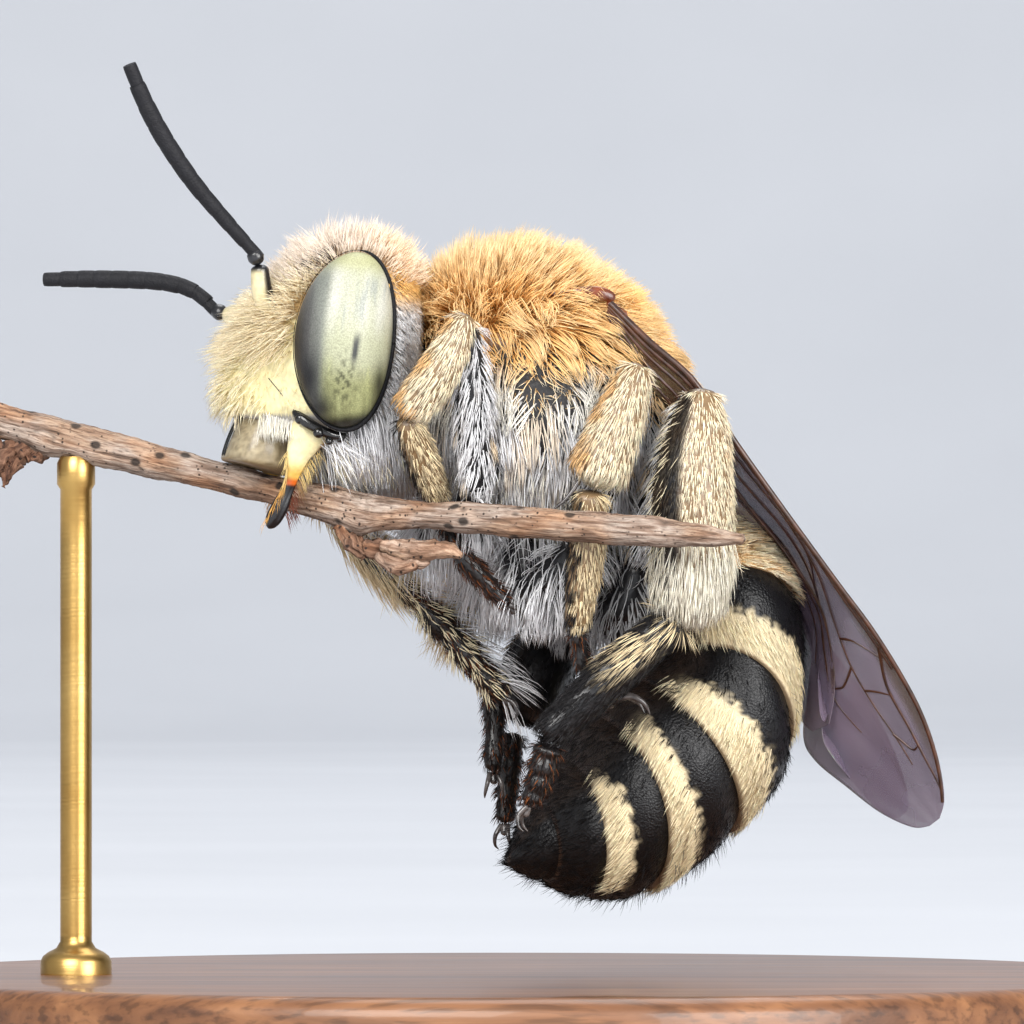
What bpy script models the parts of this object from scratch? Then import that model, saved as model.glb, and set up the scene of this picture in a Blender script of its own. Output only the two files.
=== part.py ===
"""Male banded digger bee asleep on a twig, as a still museum model on a plain stand.

Built in metres with +Z up. Lengths below are written in millimetres and multiplied by MM
when a mesh is made. The bee is laid out in its own frame: it faces -X, its left side is -Y,
and the whole animal is then turned by BODY_YAW about the vertical. The twig and the stand
are laid out in world axes. The solids follow the outer surface of the coat.
"""
import math

import bpy
from mathutils import Matrix, Vector

MM = 0.001

# ---- driving dimensions, in millimetres and degrees -------------------------------------
BODY_YAW = 15.0
LEFT = -1
RIGHT = 1
SIDE_NAMES = {LEFT: "left", RIGHT: "right"}
GAP = 0.03
SHARP_ANGLE = 40.0

# height, foremost x, rearmost x, half width of the head with its hair
HEAD_ROWS = (
    (9.50, -2.75, -1.75, 0.80),
    (9.90, -3.05, -1.52, 1.30),
    (10.22, -3.55, -1.42, 1.62),
    (10.45, -4.62, -1.38, 1.80),
    (10.90, -4.80, -1.34, 1.92),
    (11.50, -4.74, -1.34, 1.96),
    (12.00, -4.50, -1.40, 1.92),
    (12.45, -4.16, -1.50, 1.80),
    (12.85, -3.68, -1.66, 1.55),
    (13.15, -3.14, -1.92, 1.12),
)
HEAD_CROWN = (-2.50, 13.36)
HEAD_CHIN = (-2.20, 9.30)
EYE_CENTRE = (-3.035, 1.56, 11.59)
EYE_RADII = (0.735, 0.68, 1.325)
EYE_LEAN = 6.5
EYE_TURN = 6.0
LABRUM_CENTRE = (-4.02, 0.0, 10.20)
LABRUM_RADII = (0.54, 0.58, 0.26)
LABRUM_SLOPE = -12.0

# x, top, bottom, half width of the thorax with its hair
THORAX_ROWS = (
    (-1.42, 12.40, 9.95, 0.85),
    (-1.22, 12.80, 9.55, 1.45),
    (-0.80, 13.16, 9.02, 1.92),
    (-0.10, 13.33, 8.45, 2.20),
    (0.60, 13.26, 8.12, 2.34),
    (1.30, 12.92, 8.10, 2.34),
    (1.95, 12.28, 8.40, 2.20),
    (2.50, 11.50, 9.00, 1.85),
    (2.90, 10.82, 9.55, 1.30),
)
THORAX_NECK = (-1.50, 11.20)
THORAX_WAIST = (3.10, 10.20)
TEGULA_CENTRE = (0.62, 1.90, 12.22)
TEGULA_RADII = (0.46, 0.26, 0.27)

# dorsal x and z, ventral x and z, half width at the front of each abdominal segment
ABDOMEN_ROWS = (
    (3.20, 9.15, 2.20, 8.15, 1.00),
    (4.45, 7.62, 1.96, 7.85, 1.92),
    (4.28, 5.28, 1.86, 6.91, 2.19),
    (3.43, 4.04, 1.48, 6.70, 2.18),
    (2.16, 3.19, 1.05, 6.11, 2.00),
    (1.25, 3.07, 0.80, 5.40, 1.55),
    (0.58, 3.27, 0.34, 4.80, 0.96),
)
ABDOMEN_TIP = (-0.10, 3.72)
SEGMENT_RINGS = 2
TIP_RINGS = 4

# leg runs: x, distance out from the middle plane, z, radius
LEFT_LEGS = {
    "fore": {
        "femur": ((-0.95, 1.55, 9.35, 0.30), (-1.15, 1.98, 10.6, 0.34), (-1.30, 2.28, 11.70, 0.27)),
        "tibia": ((-1.38, 2.46, 11.98, 0.26), (-1.72, 2.44, 11.20, 0.36), (-2.16, 2.24, 10.55, 0.34)),
        "basitarsus": ((-2.20, 2.10, 10.36, 0.25), (-1.82, 1.62, 9.78, 0.28), (-1.46, 1.14, 9.24, 0.25)),
        "tarsus": ((-1.38, 1.06, 9.10, 0.25), (-0.82, 0.98, 8.38, 0.25), (-0.25, 0.94, 7.60, 0.25)),
    },
    "mid": {
        "femur": ((0.62, 1.85, 8.70, 0.30), (0.98, 2.20, 9.80, 0.36), (1.20, 2.48, 10.95, 0.27)),
        "tibia": ((1.25, 2.76, 11.24, 0.28), (0.92, 2.80, 10.40, 0.44), (0.52, 2.74, 9.50, 0.52)),
        "basitarsus": ((0.50, 2.66, 9.26, 0.30), (0.48, 2.44, 8.30, 0.30), (0.42, 2.16, 7.30, 0.26)),
        "tarsus": ((0.42, 2.12, 7.12, 0.25), (0.60, 2.02, 6.62, 0.25), (0.78, 2.04, 6.12, 0.25)),
    },
    "hind": {
        "femur": ((1.55, 1.75, 8.40, 0.32), (1.86, 2.20, 9.60, 0.42), (2.06, 2.56, 10.62, 0.30)),
        "tibia": ((2.22, 2.90, 10.86, 0.26), (2.18, 2.98, 9.60, 0.52), (2.02, 2.94, 8.40, 0.64),
                  (1.96, 2.88, 7.56, 0.52)),
        "basitarsus": ((1.78, 2.80, 7.36, 0.36), (0.80, 2.66, 6.48, 0.36), (-0.18, 2.46, 5.58, 0.28)),
        "tarsus": ((-0.24, 2.42, 5.42, 0.26), (-0.36, 2.34, 5.00, 0.26), (-0.40, 2.26, 4.62, 0.25)),
    },
}
# the far legs share hips, knees and shins, and hang with their feet a little differently
RIGHT_FEET = {
    "fore": {
        "femur": ((-0.95, 1.55, 9.35, 0.30), (-1.70, 2.12, 10.25, 0.34), (-2.30, 2.56, 11.06, 0.27)),
        "tibia": ((-2.46, 2.72, 11.02, 0.26), (-2.50, 2.46, 10.20, 0.36), (-2.46, 2.16, 9.50, 0.34)),
        "basitarsus": ((-2.40, 2.08, 9.28, 0.25), (-1.95, 1.82, 8.66, 0.28), (-1.42, 1.50, 8.02, 0.25)),
        "tarsus": ((-1.30, 1.46, 7.86, 0.25), (-0.62, 1.24, 7.12, 0.25), (0.12, 1.02, 6.20, 0.25)),
    },
    "mid": {
        "basitarsus": ((0.42, 2.66, 9.26, 0.30), (0.02, 2.40, 8.25, 0.30), (-0.38, 2.10, 7.28, 0.27)),
        "tarsus": ((-0.34, 2.04, 7.08, 0.26), (0.16, 1.84, 6.30, 0.26), (0.14, 1.62, 5.04, 0.25)),
    },
    "hind": {
        "basitarsus": ((1.78, 2.80, 7.36, 0.36), (1.20, 2.62, 6.56, 0.40), (0.66, 2.36, 5.76, 0.30)),
        "tarsus": ((0.62, 2.30, 5.56, 0.26), (0.54, 2.20, 4.90, 0.26), (0.46, 2.12, 4.24, 0.25)),
    },
}
LEG_SIDES = 8
LEG_STATIONS = {"femur": 4, "tibia": 5, "basitarsus": 4, "tarsus": 4}
END_SHARE = 0.7
END_ROUND = 0.35

# feeler and jaw runs: x, distance out, z, radius
SCAPE_LEFT = ((-3.88, 0.48, 12.12, 0.25), (-4.05, 0.56, 12.72, 0.25))
FLAGELLUM_LEFT = ((-4.12, 0.58, 12.84, 0.25), (-4.62, 0.62, 13.36, 0.26), (-5.16, 0.68, 13.94, 0.27),
                  (-5.62, 0.72, 14.64, 0.26), (-5.94, 0.76, 15.22, 0.25), (-6.20, 0.80, 15.74, 0.24))
SCAPE_RIGHT = ((-3.95, 0.48, 12.06, 0.25), (-4.16, 1.10, 11.96, 0.25))
FLAGELLUM_RIGHT = ((-4.24, 1.24, 12.00, 0.25), (-4.58, 1.48, 12.36, 0.26), (-5.10, 1.80, 12.50, 0.27),
                   (-5.90, 2.26, 12.54, 0.26), (-6.66, 2.70, 12.54, 0.24))
MANDIBLE = ((-3.40, 1.00, 10.27, 0.30), (-3.54, 0.93, 9.88, 0.22), (-3.66, 0.78, 9.42, 0.19),
            (-3.92, 0.60, 8.80, 0.12))
MANDIBLE_FLATTEN = 0.62

# wings: x, distance out and z of the leading edge, chord, droop of the inner edge in degrees
FOREWING_ROWS = (
    (0.98, 2.06, 12.14, 0.50, 6.0),
    (2.26, 2.46, 10.98, 0.80, 0.0),
    (3.20, 2.52, 9.90, 1.05, 0.0),
    (4.02, 2.46, 8.74, 1.22, 0.0),
    (4.84, 2.34, 7.50, 1.34, 8.0),
    (5.52, 2.14, 6.36, 1.90, 15.0),
    (5.94, 1.96, 5.36, 1.80, 20.0),
    (6.04, 1.72, 4.76, 1.34, 22.0),
    (5.96, 1.40, 4.46, 0.70, 22.0),
)
HINDWING_ROWS = (
    (2.06, 1.34, 11.58, 0.50, 0.0),
    (2.60, 1.50, 10.86, 0.66, 0.0),
    (3.50, 1.34, 9.74, 0.94, 0.0),
    (4.22, 1.08, 8.60, 0.96, 0.0),
    (4.84, 0.92, 7.44, 0.84, 4.0),
    (5.12, 0.72, 6.86, 0.50, 6.0),
)
WING_THICKNESS = 0.50

# twig: x, y, z, radius in world axes
TWIG_ROWS = (
    (-9.10, 0.62, 10.80, 0.26),
    (-7.76, 0.18, 10.38, 0.26),
    (-7.00, -0.04, 10.20, 0.265),
    (-6.24, -0.25, 9.97, 0.28),
    (-5.48, -0.44, 9.79, 0.26),
    (-4.72, -0.61, 9.62, 0.24),
    (-3.96, -0.78, 9.42, 0.24),
    (-3.43, -0.94, 9.28, 0.24),
    (-2.74, -1.28, 9.12, 0.27),
    (-2.13, -1.60, 8.99, 0.27),
    (-1.37, -1.95, 8.95, 0.23),
    (-0.60, -2.34, 8.91, 0.235),
    (0.72, -2.88, 8.81, 0.24),
    (2.20, -3.36, 8.70, 0.22),
    (3.47, -3.72, 8.59, 0.12),
)
BARK_FLAP = ((-2.25, -1.60, 8.56, 0.14), (-1.60, -1.78, 8.44, 0.20), (-0.80, -1.98, 8.42, 0.13))
BARK_FLAP_FLATTEN = 0.55
SIDE_BUD = ((-7.90, 0.20, 9.99, 0.14), (-7.55, 0.12, 9.79, 0.24), (-7.20, 0.02, 9.80, 0.12))

STAND_RADIUS = 10.0
STAND_THICKNESS = 2.0
STAND_CHAMFER = 0.35
ROD_X = -6.60
ROD_Y = -0.16
ROD_RADIUS = 0.28
ROD_TOP = 9.66
COLLAR_RADIUS = 0.60
COLLAR_HEIGHT = 0.45

HEAD_SIDES = 22
HEAD_RINGS = 12
THORAX_SIDES = 22
THORAX_RINGS = 11
ABDOMEN_SIDES = 18
EYE_SIDES = 18
EYE_RINGS = 10
BASE_SIDES = 40
ROD_SIDES = 12
TWIG_SIDES = 8
TWIG_STATIONS = 22

FINISHES = {
    "pale_coat": ((0.72, 0.56, 0.34), 0.75, 0.0),
    "eye": ((0.42, 0.48, 0.32), 0.12, 0.0),
    "pale_face": ((0.80, 0.70, 0.36), 0.4, 0.0),
    "dark_shell": ((0.012, 0.012, 0.016), 0.35, 0.0),
    "banded_shell": ((0.10, 0.085, 0.06), 0.5, 0.0),
    "leg_coat": ((0.45, 0.33, 0.17), 0.7, 0.0),
    "wing": ((0.10, 0.07, 0.08), 0.25, 0.0),
    "tegula": ((0.16, 0.05, 0.02), 0.3, 0.0),
    "bark": ((0.42, 0.31, 0.25), 0.85, 0.0),
    "stand_wood": ((0.50, 0.33, 0.17), 0.5, 0.0),
    "stand_brass": ((0.72, 0.50, 0.20), 0.3, 1.0),
}


# ---- shared helpers -----------------------------------------------------------------------
def clear_scene():
    """Remove what the opened file holds."""
    for old in list(bpy.data.objects):
        bpy.data.objects.remove(old, do_unlink=True)


def finish(name):
    """The Principled material of one finish, made once."""
    material = bpy.data.materials.get(name)
    if material is None:
        colour, roughness, metallic = FINISHES[name]
        material = bpy.data.materials.new(name)
        material.use_nodes = True
        shader = material.node_tree.nodes["Principled BSDF"]
        shader.inputs["Base Color"].default_value = (*colour, 1.0)
        shader.inputs["Roughness"].default_value = roughness
        shader.inputs["Metallic"].default_value = metallic
        material.diffuse_color = (*colour, 1.0)
    return material


def smooth_rows(rows, count):
    """Count rows read evenly along a smooth curve through the given rows."""
    last = len(rows) - 1
    found = []
    for step in range(count):
        place = step / (count - 1) * last
        index = min(int(place), last - 1)
        t = place - index
        before = rows[max(index - 1, 0)]
        start = rows[index]
        end = rows[index + 1]
        after = rows[min(index + 2, last)]
        found.append(tuple(
            0.5 * (2 * b + (c - a) * t + (2 * a - 5 * b + 4 * c - d) * t * t
                   + (3 * b - a - 3 * c + d) * t ** 3)
            for a, b, c, d in zip(before, start, end, after)
        ))
    return found


def ring(centre, across, upward, sides, power=2.0):
    """A closed ring of points around centre: an ellipse, squarer where power is above 2."""
    points = []
    for step in range(sides):
        angle = 2 * math.pi * step / sides
        c = math.cos(angle)
        s = math.sin(angle)
        u = math.copysign(abs(c) ** (2 / power), c)
        v = math.copysign(abs(s) ** (2 / power), s)
        points.append(Vector(centre) + Vector(across) * u + Vector(upward) * v)
    return points


def loft_mesh(name, rings, start_tip=None, end_tip=None):
    """Closed mesh through rings of equal length, ended by a flat cap or by a tip point."""
    sides = len(rings[0])
    points = [point for row in rings for point in row]
    faces = []
    for row in range(len(rings) - 1):
        base = row * sides
        for step in range(sides):
            follow = (step + 1) % sides
            faces.append((base + step, base + follow, base + sides + follow, base + sides + step))
    last = (len(rings) - 1) * sides
    if start_tip is None:
        faces.append(tuple(reversed(range(sides))))
    else:
        points.append(Vector(start_tip))
        faces += [(len(points) - 1, (step + 1) % sides, step) for step in range(sides)]
    if end_tip is None:
        faces.append(tuple(range(last, last + sides)))
    else:
        points.append(Vector(end_tip))
        faces += [(len(points) - 1, last + step, last + (step + 1) % sides) for step in range(sides)]
    mesh = bpy.data.meshes.new(name)
    mesh.from_pydata([point * MM for point in points], [], faces)
    if signed_volume(mesh) < 0:
        mesh.flip_normals()
    return mesh


def signed_volume(mesh):
    """Volume of a closed mesh, negative where its faces look inward."""
    mesh.calc_loop_triangles()
    total = 0.0
    for triangle in mesh.loop_triangles:
        a, b, c = (mesh.vertices[index].co for index in triangle.vertices)
        total += a.dot(b.cross(c)) / 6
    return total


def place(name, mesh, material_name, origin, parent):
    """One named object whose origin is its own reference point, given in millimetres."""
    shift = Vector(origin) * MM
    mesh.transform(Matrix.Translation(-shift))
    mesh.materials.append(finish(material_name))
    mesh.shade_smooth()
    mesh.set_sharp_from_angle(angle=math.radians(SHARP_ANGLE))
    thing = bpy.data.objects.new(name, mesh)
    bpy.context.scene.collection.objects.link(thing)
    thing.location = shift
    thing.parent = parent
    return thing


def run_frames(points):
    """Two directions square to a run at each of its points, without twist."""
    frames = []
    normal = None
    for index, point in enumerate(points):
        ahead = points[min(index + 1, len(points) - 1)] - points[max(index - 1, 0)]
        ahead.normalize()
        if normal is None:
            normal = Vector((0, 1, 0)) if abs(ahead.y) < 0.9 else Vector((1, 0, 0))
        normal = (normal - ahead * normal.dot(ahead)).normalized()
        frames.append((normal.copy(), ahead.cross(normal)))
    return frames


def run_mesh(name, rows, stations, sides, flatten=1.0):
    """Round-ended tube along rows of x, y, z and radius; flatten thins it sideways."""
    smooth = smooth_rows(rows, stations)
    points = [Vector(row[:3]) for row in smooth]
    radii = [row[3] for row in smooth]
    frames = run_frames(points)
    caps = []
    for index, inner in ((0, 1), (-1, -2)):
        sideways, upward = frames[index]
        radius = radii[index] * END_SHARE
        caps.append(ring(points[index], sideways * radius * flatten, upward * radius, sides))
        ahead = (points[inner] - points[index]).normalized()
        points[index] = points[index] + ahead * radii[index] * END_ROUND
    rings = []
    for point, radius, (sideways, upward) in zip(points, radii, frames):
        rings.append(ring(point, sideways * radius * flatten, upward * radius, sides))
    return loft_mesh(name, [caps[0]] + rings + [caps[1]])


def ball_mesh(name, centre, radii, turn, around=20, rows=10):
    """Closed ellipsoid with its long axis upright before it is turned."""
    rings = []
    for row in range(1, rows):
        lift = -math.cos(math.pi * row / rows)
        spread = math.sin(math.pi * row / rows)
        rings.append(ring((0, 0, lift * radii[2]), (radii[0] * spread, 0, 0),
                          (0, radii[1] * spread, 0), around))
    mesh = loft_mesh(name, rings, (0, 0, -radii[2]), (0, 0, radii[2]))
    mesh.transform(turn)
    mesh.transform(Matrix.Translation(Vector(centre) * MM))
    return mesh


def carve(target, others, gap=GAP):
    """Cut each other solid, grown by the gap, out of the target."""
    for other in others:
        grown = other.data.copy()
        grown.name = target.name + "_less_" + other.name
        normals = [vertex.normal.copy() for vertex in grown.vertices]
        for vertex, normal in zip(grown.vertices, normals):
            vertex.co += normal * gap * MM
        cutter = bpy.data.objects.new(grown.name, grown)
        bpy.context.scene.collection.objects.link(cutter)
        cutter.location = other.location
        cutter.parent = other.parent
        cutter.hide_render = True
        cutter.display_type = "WIRE"
        cut = target.modifiers.new("clear_of_" + other.name, "BOOLEAN")
        cut.operation = "DIFFERENCE"
        cut.solver = "EXACT"
        cut.object = cutter


def outward(rows, side):
    """Rows given by distance out from the middle plane, put on one side of the bee."""
    return tuple((row[0], side * row[1], *row[2:]) for row in rows)


# ---- the bee ------------------------------------------------------------------------------
def build_head(bee):
    """Head with its hair, without eyes, feelers and jaws."""
    rings = []
    for z, front, back, half in smooth_rows(HEAD_ROWS, HEAD_RINGS):
        centre = ((front + back) / 2, 0, z)
        rings.append(ring(centre, ((back - front) / 2, 0, 0), (0, half, 0), HEAD_SIDES, 2.15))
    mesh = loft_mesh("head", rings, (HEAD_CHIN[0], 0, HEAD_CHIN[1]), (HEAD_CROWN[0], 0, HEAD_CROWN[1]))
    return place("head", mesh, "pale_coat", (-1.45, 0, 11.3), bee)


def build_eye(bee, side):
    """One large eye, leaning back a little at the top and turned toward the face."""
    x, out, z = EYE_CENTRE
    lean = Matrix.Rotation(math.radians(EYE_LEAN), 4, "Y")
    turn = Matrix.Rotation(math.radians(-side * EYE_TURN), 4, "Z")
    centre = (x, side * out, z)
    name = "eye_" + SIDE_NAMES[side]
    mesh = ball_mesh(name, centre, EYE_RADII, turn @ lean, EYE_SIDES, EYE_RINGS)
    return place(name, mesh, "eye", centre, bee)


def build_labrum(bee):
    """Upper lip that hangs below the face between the jaws."""
    slope = Matrix.Rotation(math.radians(LABRUM_SLOPE), 4, "Y")
    mesh = ball_mesh("labrum", LABRUM_CENTRE, LABRUM_RADII, slope, 16, 8)
    return place("labrum", mesh, "pale_face", LABRUM_CENTRE, bee)


def build_run(bee, name, rows, material_name, stations, flatten=1.0):
    """A tube-like part whose origin is the first point of its run."""
    mesh = run_mesh(name, rows, stations, LEG_SIDES, flatten)
    return place(name, mesh, material_name, rows[0][:3], bee)


def build_feelers(bee):
    """Scape and flagellum on each side."""
    parts = []
    runs = (("scape", SCAPE_LEFT, SCAPE_RIGHT, 3), ("flagellum", FLAGELLUM_LEFT, FLAGELLUM_RIGHT, 9))
    for name, left_rows, right_rows, stations in runs:
        for side, rows in ((LEFT, left_rows), (RIGHT, right_rows)):
            material_name = "pale_face" if name == "scape" else "dark_shell"
            full_name = name + "_" + SIDE_NAMES[side]
            parts.append(build_run(bee, full_name, outward(rows, side), material_name, stations))
    return parts


def build_thorax(bee):
    """Thorax with its hair, from the neck to the waist."""
    rings = []
    for x, top, bottom, half in smooth_rows(THORAX_ROWS, THORAX_RINGS):
        centre = (x, 0, (top + bottom) / 2)
        rings.append(ring(centre, (0, half, 0), (0, 0, (top - bottom) / 2), THORAX_SIDES, 2.2))
    neck = (THORAX_NECK[0], 0, THORAX_NECK[1])
    waist = (THORAX_WAIST[0], 0, THORAX_WAIST[1])
    return place("thorax", loft_mesh("thorax", rings, neck, waist), "pale_coat", neck, bee)


def build_tegula(bee, side):
    """Small scale over the wing root."""
    x, out, z = TEGULA_CENTRE
    centre = (x, side * out, z)
    name = "tegula_" + SIDE_NAMES[side]
    mesh = ball_mesh(name, centre, TEGULA_RADII, Matrix.Identity(4), 12, 6)
    return place(name, mesh, "tegula", centre, bee)


def abdomen_ring(row):
    """Ring across the abdomen from its dorsal line to its ventral line."""
    dorsal_x, dorsal_z, ventral_x, ventral_z, half = row
    centre = Vector(((dorsal_x + ventral_x) / 2, 0, (dorsal_z + ventral_z) / 2))
    upward = Vector(((dorsal_x - ventral_x) / 2, 0, (dorsal_z - ventral_z) / 2))
    return ring(centre, (0, half, 0), upward, ABDOMEN_SIDES)


def blend(first, second, share):
    """Row part of the way from one row to the next."""
    return tuple(a + (b - a) * share for a, b in zip(first, second))


def build_abdomen(bee):
    """Seven segments of the curled abdomen, parted by thin gaps."""
    spans = len(ABDOMEN_ROWS) - 1
    fine = 8
    smooth = smooth_rows(ABDOMEN_ROWS, spans * fine + 1)
    parts = []
    for segment in range(spans):
        front = blend(smooth[segment * fine], smooth[segment * fine + 1], 0.1)
        back = blend(smooth[(segment + 1) * fine], smooth[(segment + 1) * fine - 1], 0.1)
        middle = [smooth[segment * fine + fine * step // SEGMENT_RINGS] for step in range(1, SEGMENT_RINGS)]
        rings = [abdomen_ring(row) for row in (front, *middle, back)]
        name = "abdomen_" + str(segment + 1)
        origin = sum(rings[0], Vector()) / ABDOMEN_SIDES
        parts.append(place(name, loft_mesh(name, rings), "banded_shell", origin, bee))
    last = ABDOMEN_ROWS[-1]
    tip = (ABDOMEN_TIP[0], ABDOMEN_TIP[1], ABDOMEN_TIP[0], ABDOMEN_TIP[1], 0.0)
    rings = []
    for step in range(TIP_RINGS):
        share = 0.02 + step / TIP_RINGS
        narrowing = math.sqrt(1 - share ** 2) / (1 - share) if share < 1 else 0
        row = blend(last, tip, share)
        centre_x = (row[0] + row[2]) / 2
        centre_z = (row[1] + row[3]) / 2
        grow = min(narrowing, 1.6)
        rings.append(abdomen_ring((
            centre_x + (row[0] - centre_x) * grow, centre_z + (row[1] - centre_z) * grow,
            centre_x + (row[2] - centre_x) * grow, centre_z + (row[3] - centre_z) * grow,
            row[4] * grow)))
    mesh = loft_mesh("abdomen_7", rings, None, (ABDOMEN_TIP[0], 0, ABDOMEN_TIP[1]))
    origin = sum(rings[0], Vector()) / ABDOMEN_SIDES
    parts.append(place("abdomen_7", mesh, "banded_shell", origin, bee))
    return parts


def build_legs(bee):
    """Femur, tibia, basitarsus and tarsus of all six legs."""
    legs = {}
    for side in (LEFT, RIGHT):
        for leg, pieces in LEFT_LEGS.items():
            runs = dict(pieces)
            if side == RIGHT:
                runs.update(RIGHT_FEET[leg])
            for piece, rows in runs.items():
                name = leg + "_" + piece + "_" + SIDE_NAMES[side]
                legs[name] = build_run(bee, name, outward(rows, side), "leg_coat", LEG_STATIONS[piece])
            knee = leg + "_femur_" + SIDE_NAMES[side]
            carve(legs[knee], [legs[leg + "_tibia_" + SIDE_NAMES[side]]])
    return legs


def build_wing(bee, name, rows, side, stations):
    """Folded wing plate: a rounded slat from its leading edge inward along the back."""
    smooth = smooth_rows(rows, stations)
    edges = [Vector((row[0], side * row[1], row[2])) for row in smooth]
    rings = []
    for index, (edge, row) in enumerate(zip(edges, smooth)):
        ahead = edges[min(index + 1, stations - 1)] - edges[max(index - 1, 0)]
        ahead.normalize()
        chord, droop = row[3], math.radians(row[4])
        inward = Vector((0, -side, 0))
        inward = (inward - ahead * inward.dot(ahead)).normalized()
        outer = ahead.cross(inward).normalized()
        if outer.x < 0:
            outer.negate()
        inward = (inward * math.cos(droop) - outer * math.sin(droop)).normalized()
        outer = (outer - inward * outer.dot(inward)).normalized()
        centre = edge + inward * chord / 2
        rings.append(ring(centre, inward * chord / 2, outer * WING_THICKNESS / 2, LEG_SIDES, 3.2))
    return place(name, loft_mesh(name, rings), "wing", edges[0], bee)


def build_jaws(bee):
    """The two curved jaws that close on the twig."""
    jaws = []
    for side in (LEFT, RIGHT):
        name = "mandible_" + SIDE_NAMES[side]
        jaws.append(build_run(bee, name, outward(MANDIBLE, side), "pale_face", 7, MANDIBLE_FLATTEN))
    return jaws


def build_wings(bee):
    """Both pairs of folded wings, by name."""
    wings = {}
    for side in (LEFT, RIGHT):
        for pair, rows, stations in (("forewing", FOREWING_ROWS, 12), ("hindwing", HINDWING_ROWS, 7)):
            name = pair + "_" + SIDE_NAMES[side]
            wings[name] = build_wing(bee, name, rows, side, stations)
    return wings


def build_bee(bee):
    """All pieces of the animal, cleared of each other where they nestle."""
    head = build_head(bee)
    eyes = [build_eye(bee, side) for side in (LEFT, RIGHT)]
    labrum = build_labrum(bee)
    feelers = build_feelers(bee)
    jaws = build_jaws(bee)
    carve(head, [*eyes, labrum, *feelers, *jaws])
    segments = build_abdomen(bee)
    legs = build_legs(bee)
    wings = build_wings(bee)
    scales = [build_tegula(bee, side) for side in (LEFT, RIGHT)]
    femurs = [leg for name, leg in legs.items() if "femur" in name]
    thorax = build_thorax(bee)
    carve(thorax, [head, *scales, *wings.values(), *femurs])
    hindwings = [wing for name, wing in wings.items() if "hindwing" in name]
    for segment in segments[:2]:
        carve(segment, hindwings)
    for scale, side in zip(scales, (LEFT, RIGHT)):
        carve(scale, [wings["forewing_" + SIDE_NAMES[side]]])


def build_twig():
    """Dry twig between the jaws, with a bud and a loose flap of bark."""
    mesh = run_mesh("twig", TWIG_ROWS, TWIG_STATIONS, TWIG_SIDES)
    place("twig", mesh, "bark", TWIG_ROWS[0][:3], None)
    bud = run_mesh("twig_bud", SIDE_BUD, 4, TWIG_SIDES)
    place("twig_bud", bud, "bark", SIDE_BUD[0][:3], None)
    flap = run_mesh("twig_bark_flap", BARK_FLAP, 4, TWIG_SIDES, BARK_FLAP_FLATTEN)
    place("twig_bark_flap", flap, "bark", BARK_FLAP[0][:3], None)


def build_stand():
    """Round base with its underside on the floor, and a rod up to the twig."""
    profile = (
        (STAND_RADIUS - STAND_CHAMFER, 0.0),
        (STAND_RADIUS, STAND_CHAMFER),
        (STAND_RADIUS, STAND_THICKNESS - STAND_CHAMFER),
        (STAND_RADIUS - STAND_CHAMFER, STAND_THICKNESS),
    )
    rings = [ring((0, 0, z), (radius, 0, 0), (0, radius, 0), BASE_SIDES) for radius, z in profile]
    place("stand_base", loft_mesh("stand_base", rings), "stand_wood", (0, 0, 0), None)
    foot = (ROD_X, ROD_Y, STAND_THICKNESS + GAP)
    profile = (
        (COLLAR_RADIUS, 0.0),
        (COLLAR_RADIUS, COLLAR_HEIGHT * 0.6),
        (COLLAR_RADIUS * 0.75, COLLAR_HEIGHT),
        (ROD_RADIUS, COLLAR_HEIGHT),
        (ROD_RADIUS, ROD_TOP - foot[2]),
    )
    rings = [ring((foot[0], foot[1], foot[2] + z), (radius, 0, 0), (0, radius, 0), ROD_SIDES)
             for radius, z in profile]
    place("stand_rod", loft_mesh("stand_rod", rings), "stand_brass", foot, None)


def main():
    """Build the whole part."""
    clear_scene()
    bee = bpy.data.objects.new("bee_frame", None)
    bee.rotation_euler.z = math.radians(BODY_YAW)
    bpy.context.scene.collection.objects.link(bee)
    build_bee(bee)
    build_twig()
    build_stand()


main()
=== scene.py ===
"""Finished look of a banded digger bee asleep on a twig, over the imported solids.

The bee is laid out in its own frame in millimetres, facing -X with its left side at -Y, and
is then turned about the vertical, as the solids are. The twig and the stand use world axes.
"""
import logging
import math
from dataclasses import dataclass, field
from enum import Enum
from typing import Iterable, Sequence

import bpy
import numpy as np
from mathutils import Matrix, Vector
from mathutils.kdtree import KDTree


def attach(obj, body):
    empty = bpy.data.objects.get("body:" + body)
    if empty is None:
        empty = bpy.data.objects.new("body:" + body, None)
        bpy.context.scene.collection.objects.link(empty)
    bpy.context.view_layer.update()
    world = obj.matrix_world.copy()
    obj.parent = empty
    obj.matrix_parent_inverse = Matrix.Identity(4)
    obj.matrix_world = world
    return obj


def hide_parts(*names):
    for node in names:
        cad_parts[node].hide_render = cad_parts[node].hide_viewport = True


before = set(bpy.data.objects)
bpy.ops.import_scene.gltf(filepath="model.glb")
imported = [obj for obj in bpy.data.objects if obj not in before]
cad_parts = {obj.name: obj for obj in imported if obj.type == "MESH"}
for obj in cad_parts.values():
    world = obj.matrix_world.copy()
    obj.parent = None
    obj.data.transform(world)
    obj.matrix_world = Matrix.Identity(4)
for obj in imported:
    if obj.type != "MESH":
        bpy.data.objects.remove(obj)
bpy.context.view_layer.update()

LOG = logging.getLogger("bee")
MM = 0.001
TURN = 2 * math.pi
RIPPLE_WAVES = 7
RIPPLE_PEAK = 3.2
BODY_YAW = math.radians(15.0)
Array = np.ndarray
Colour = tuple[float, float, float]
Rows = Sequence[Sequence[float]]
Socket = bpy.types.NodeSocket
Material = bpy.types.Material
Thing = bpy.types.Object
Value = float | str | Sequence[float] | Material | Socket


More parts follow.
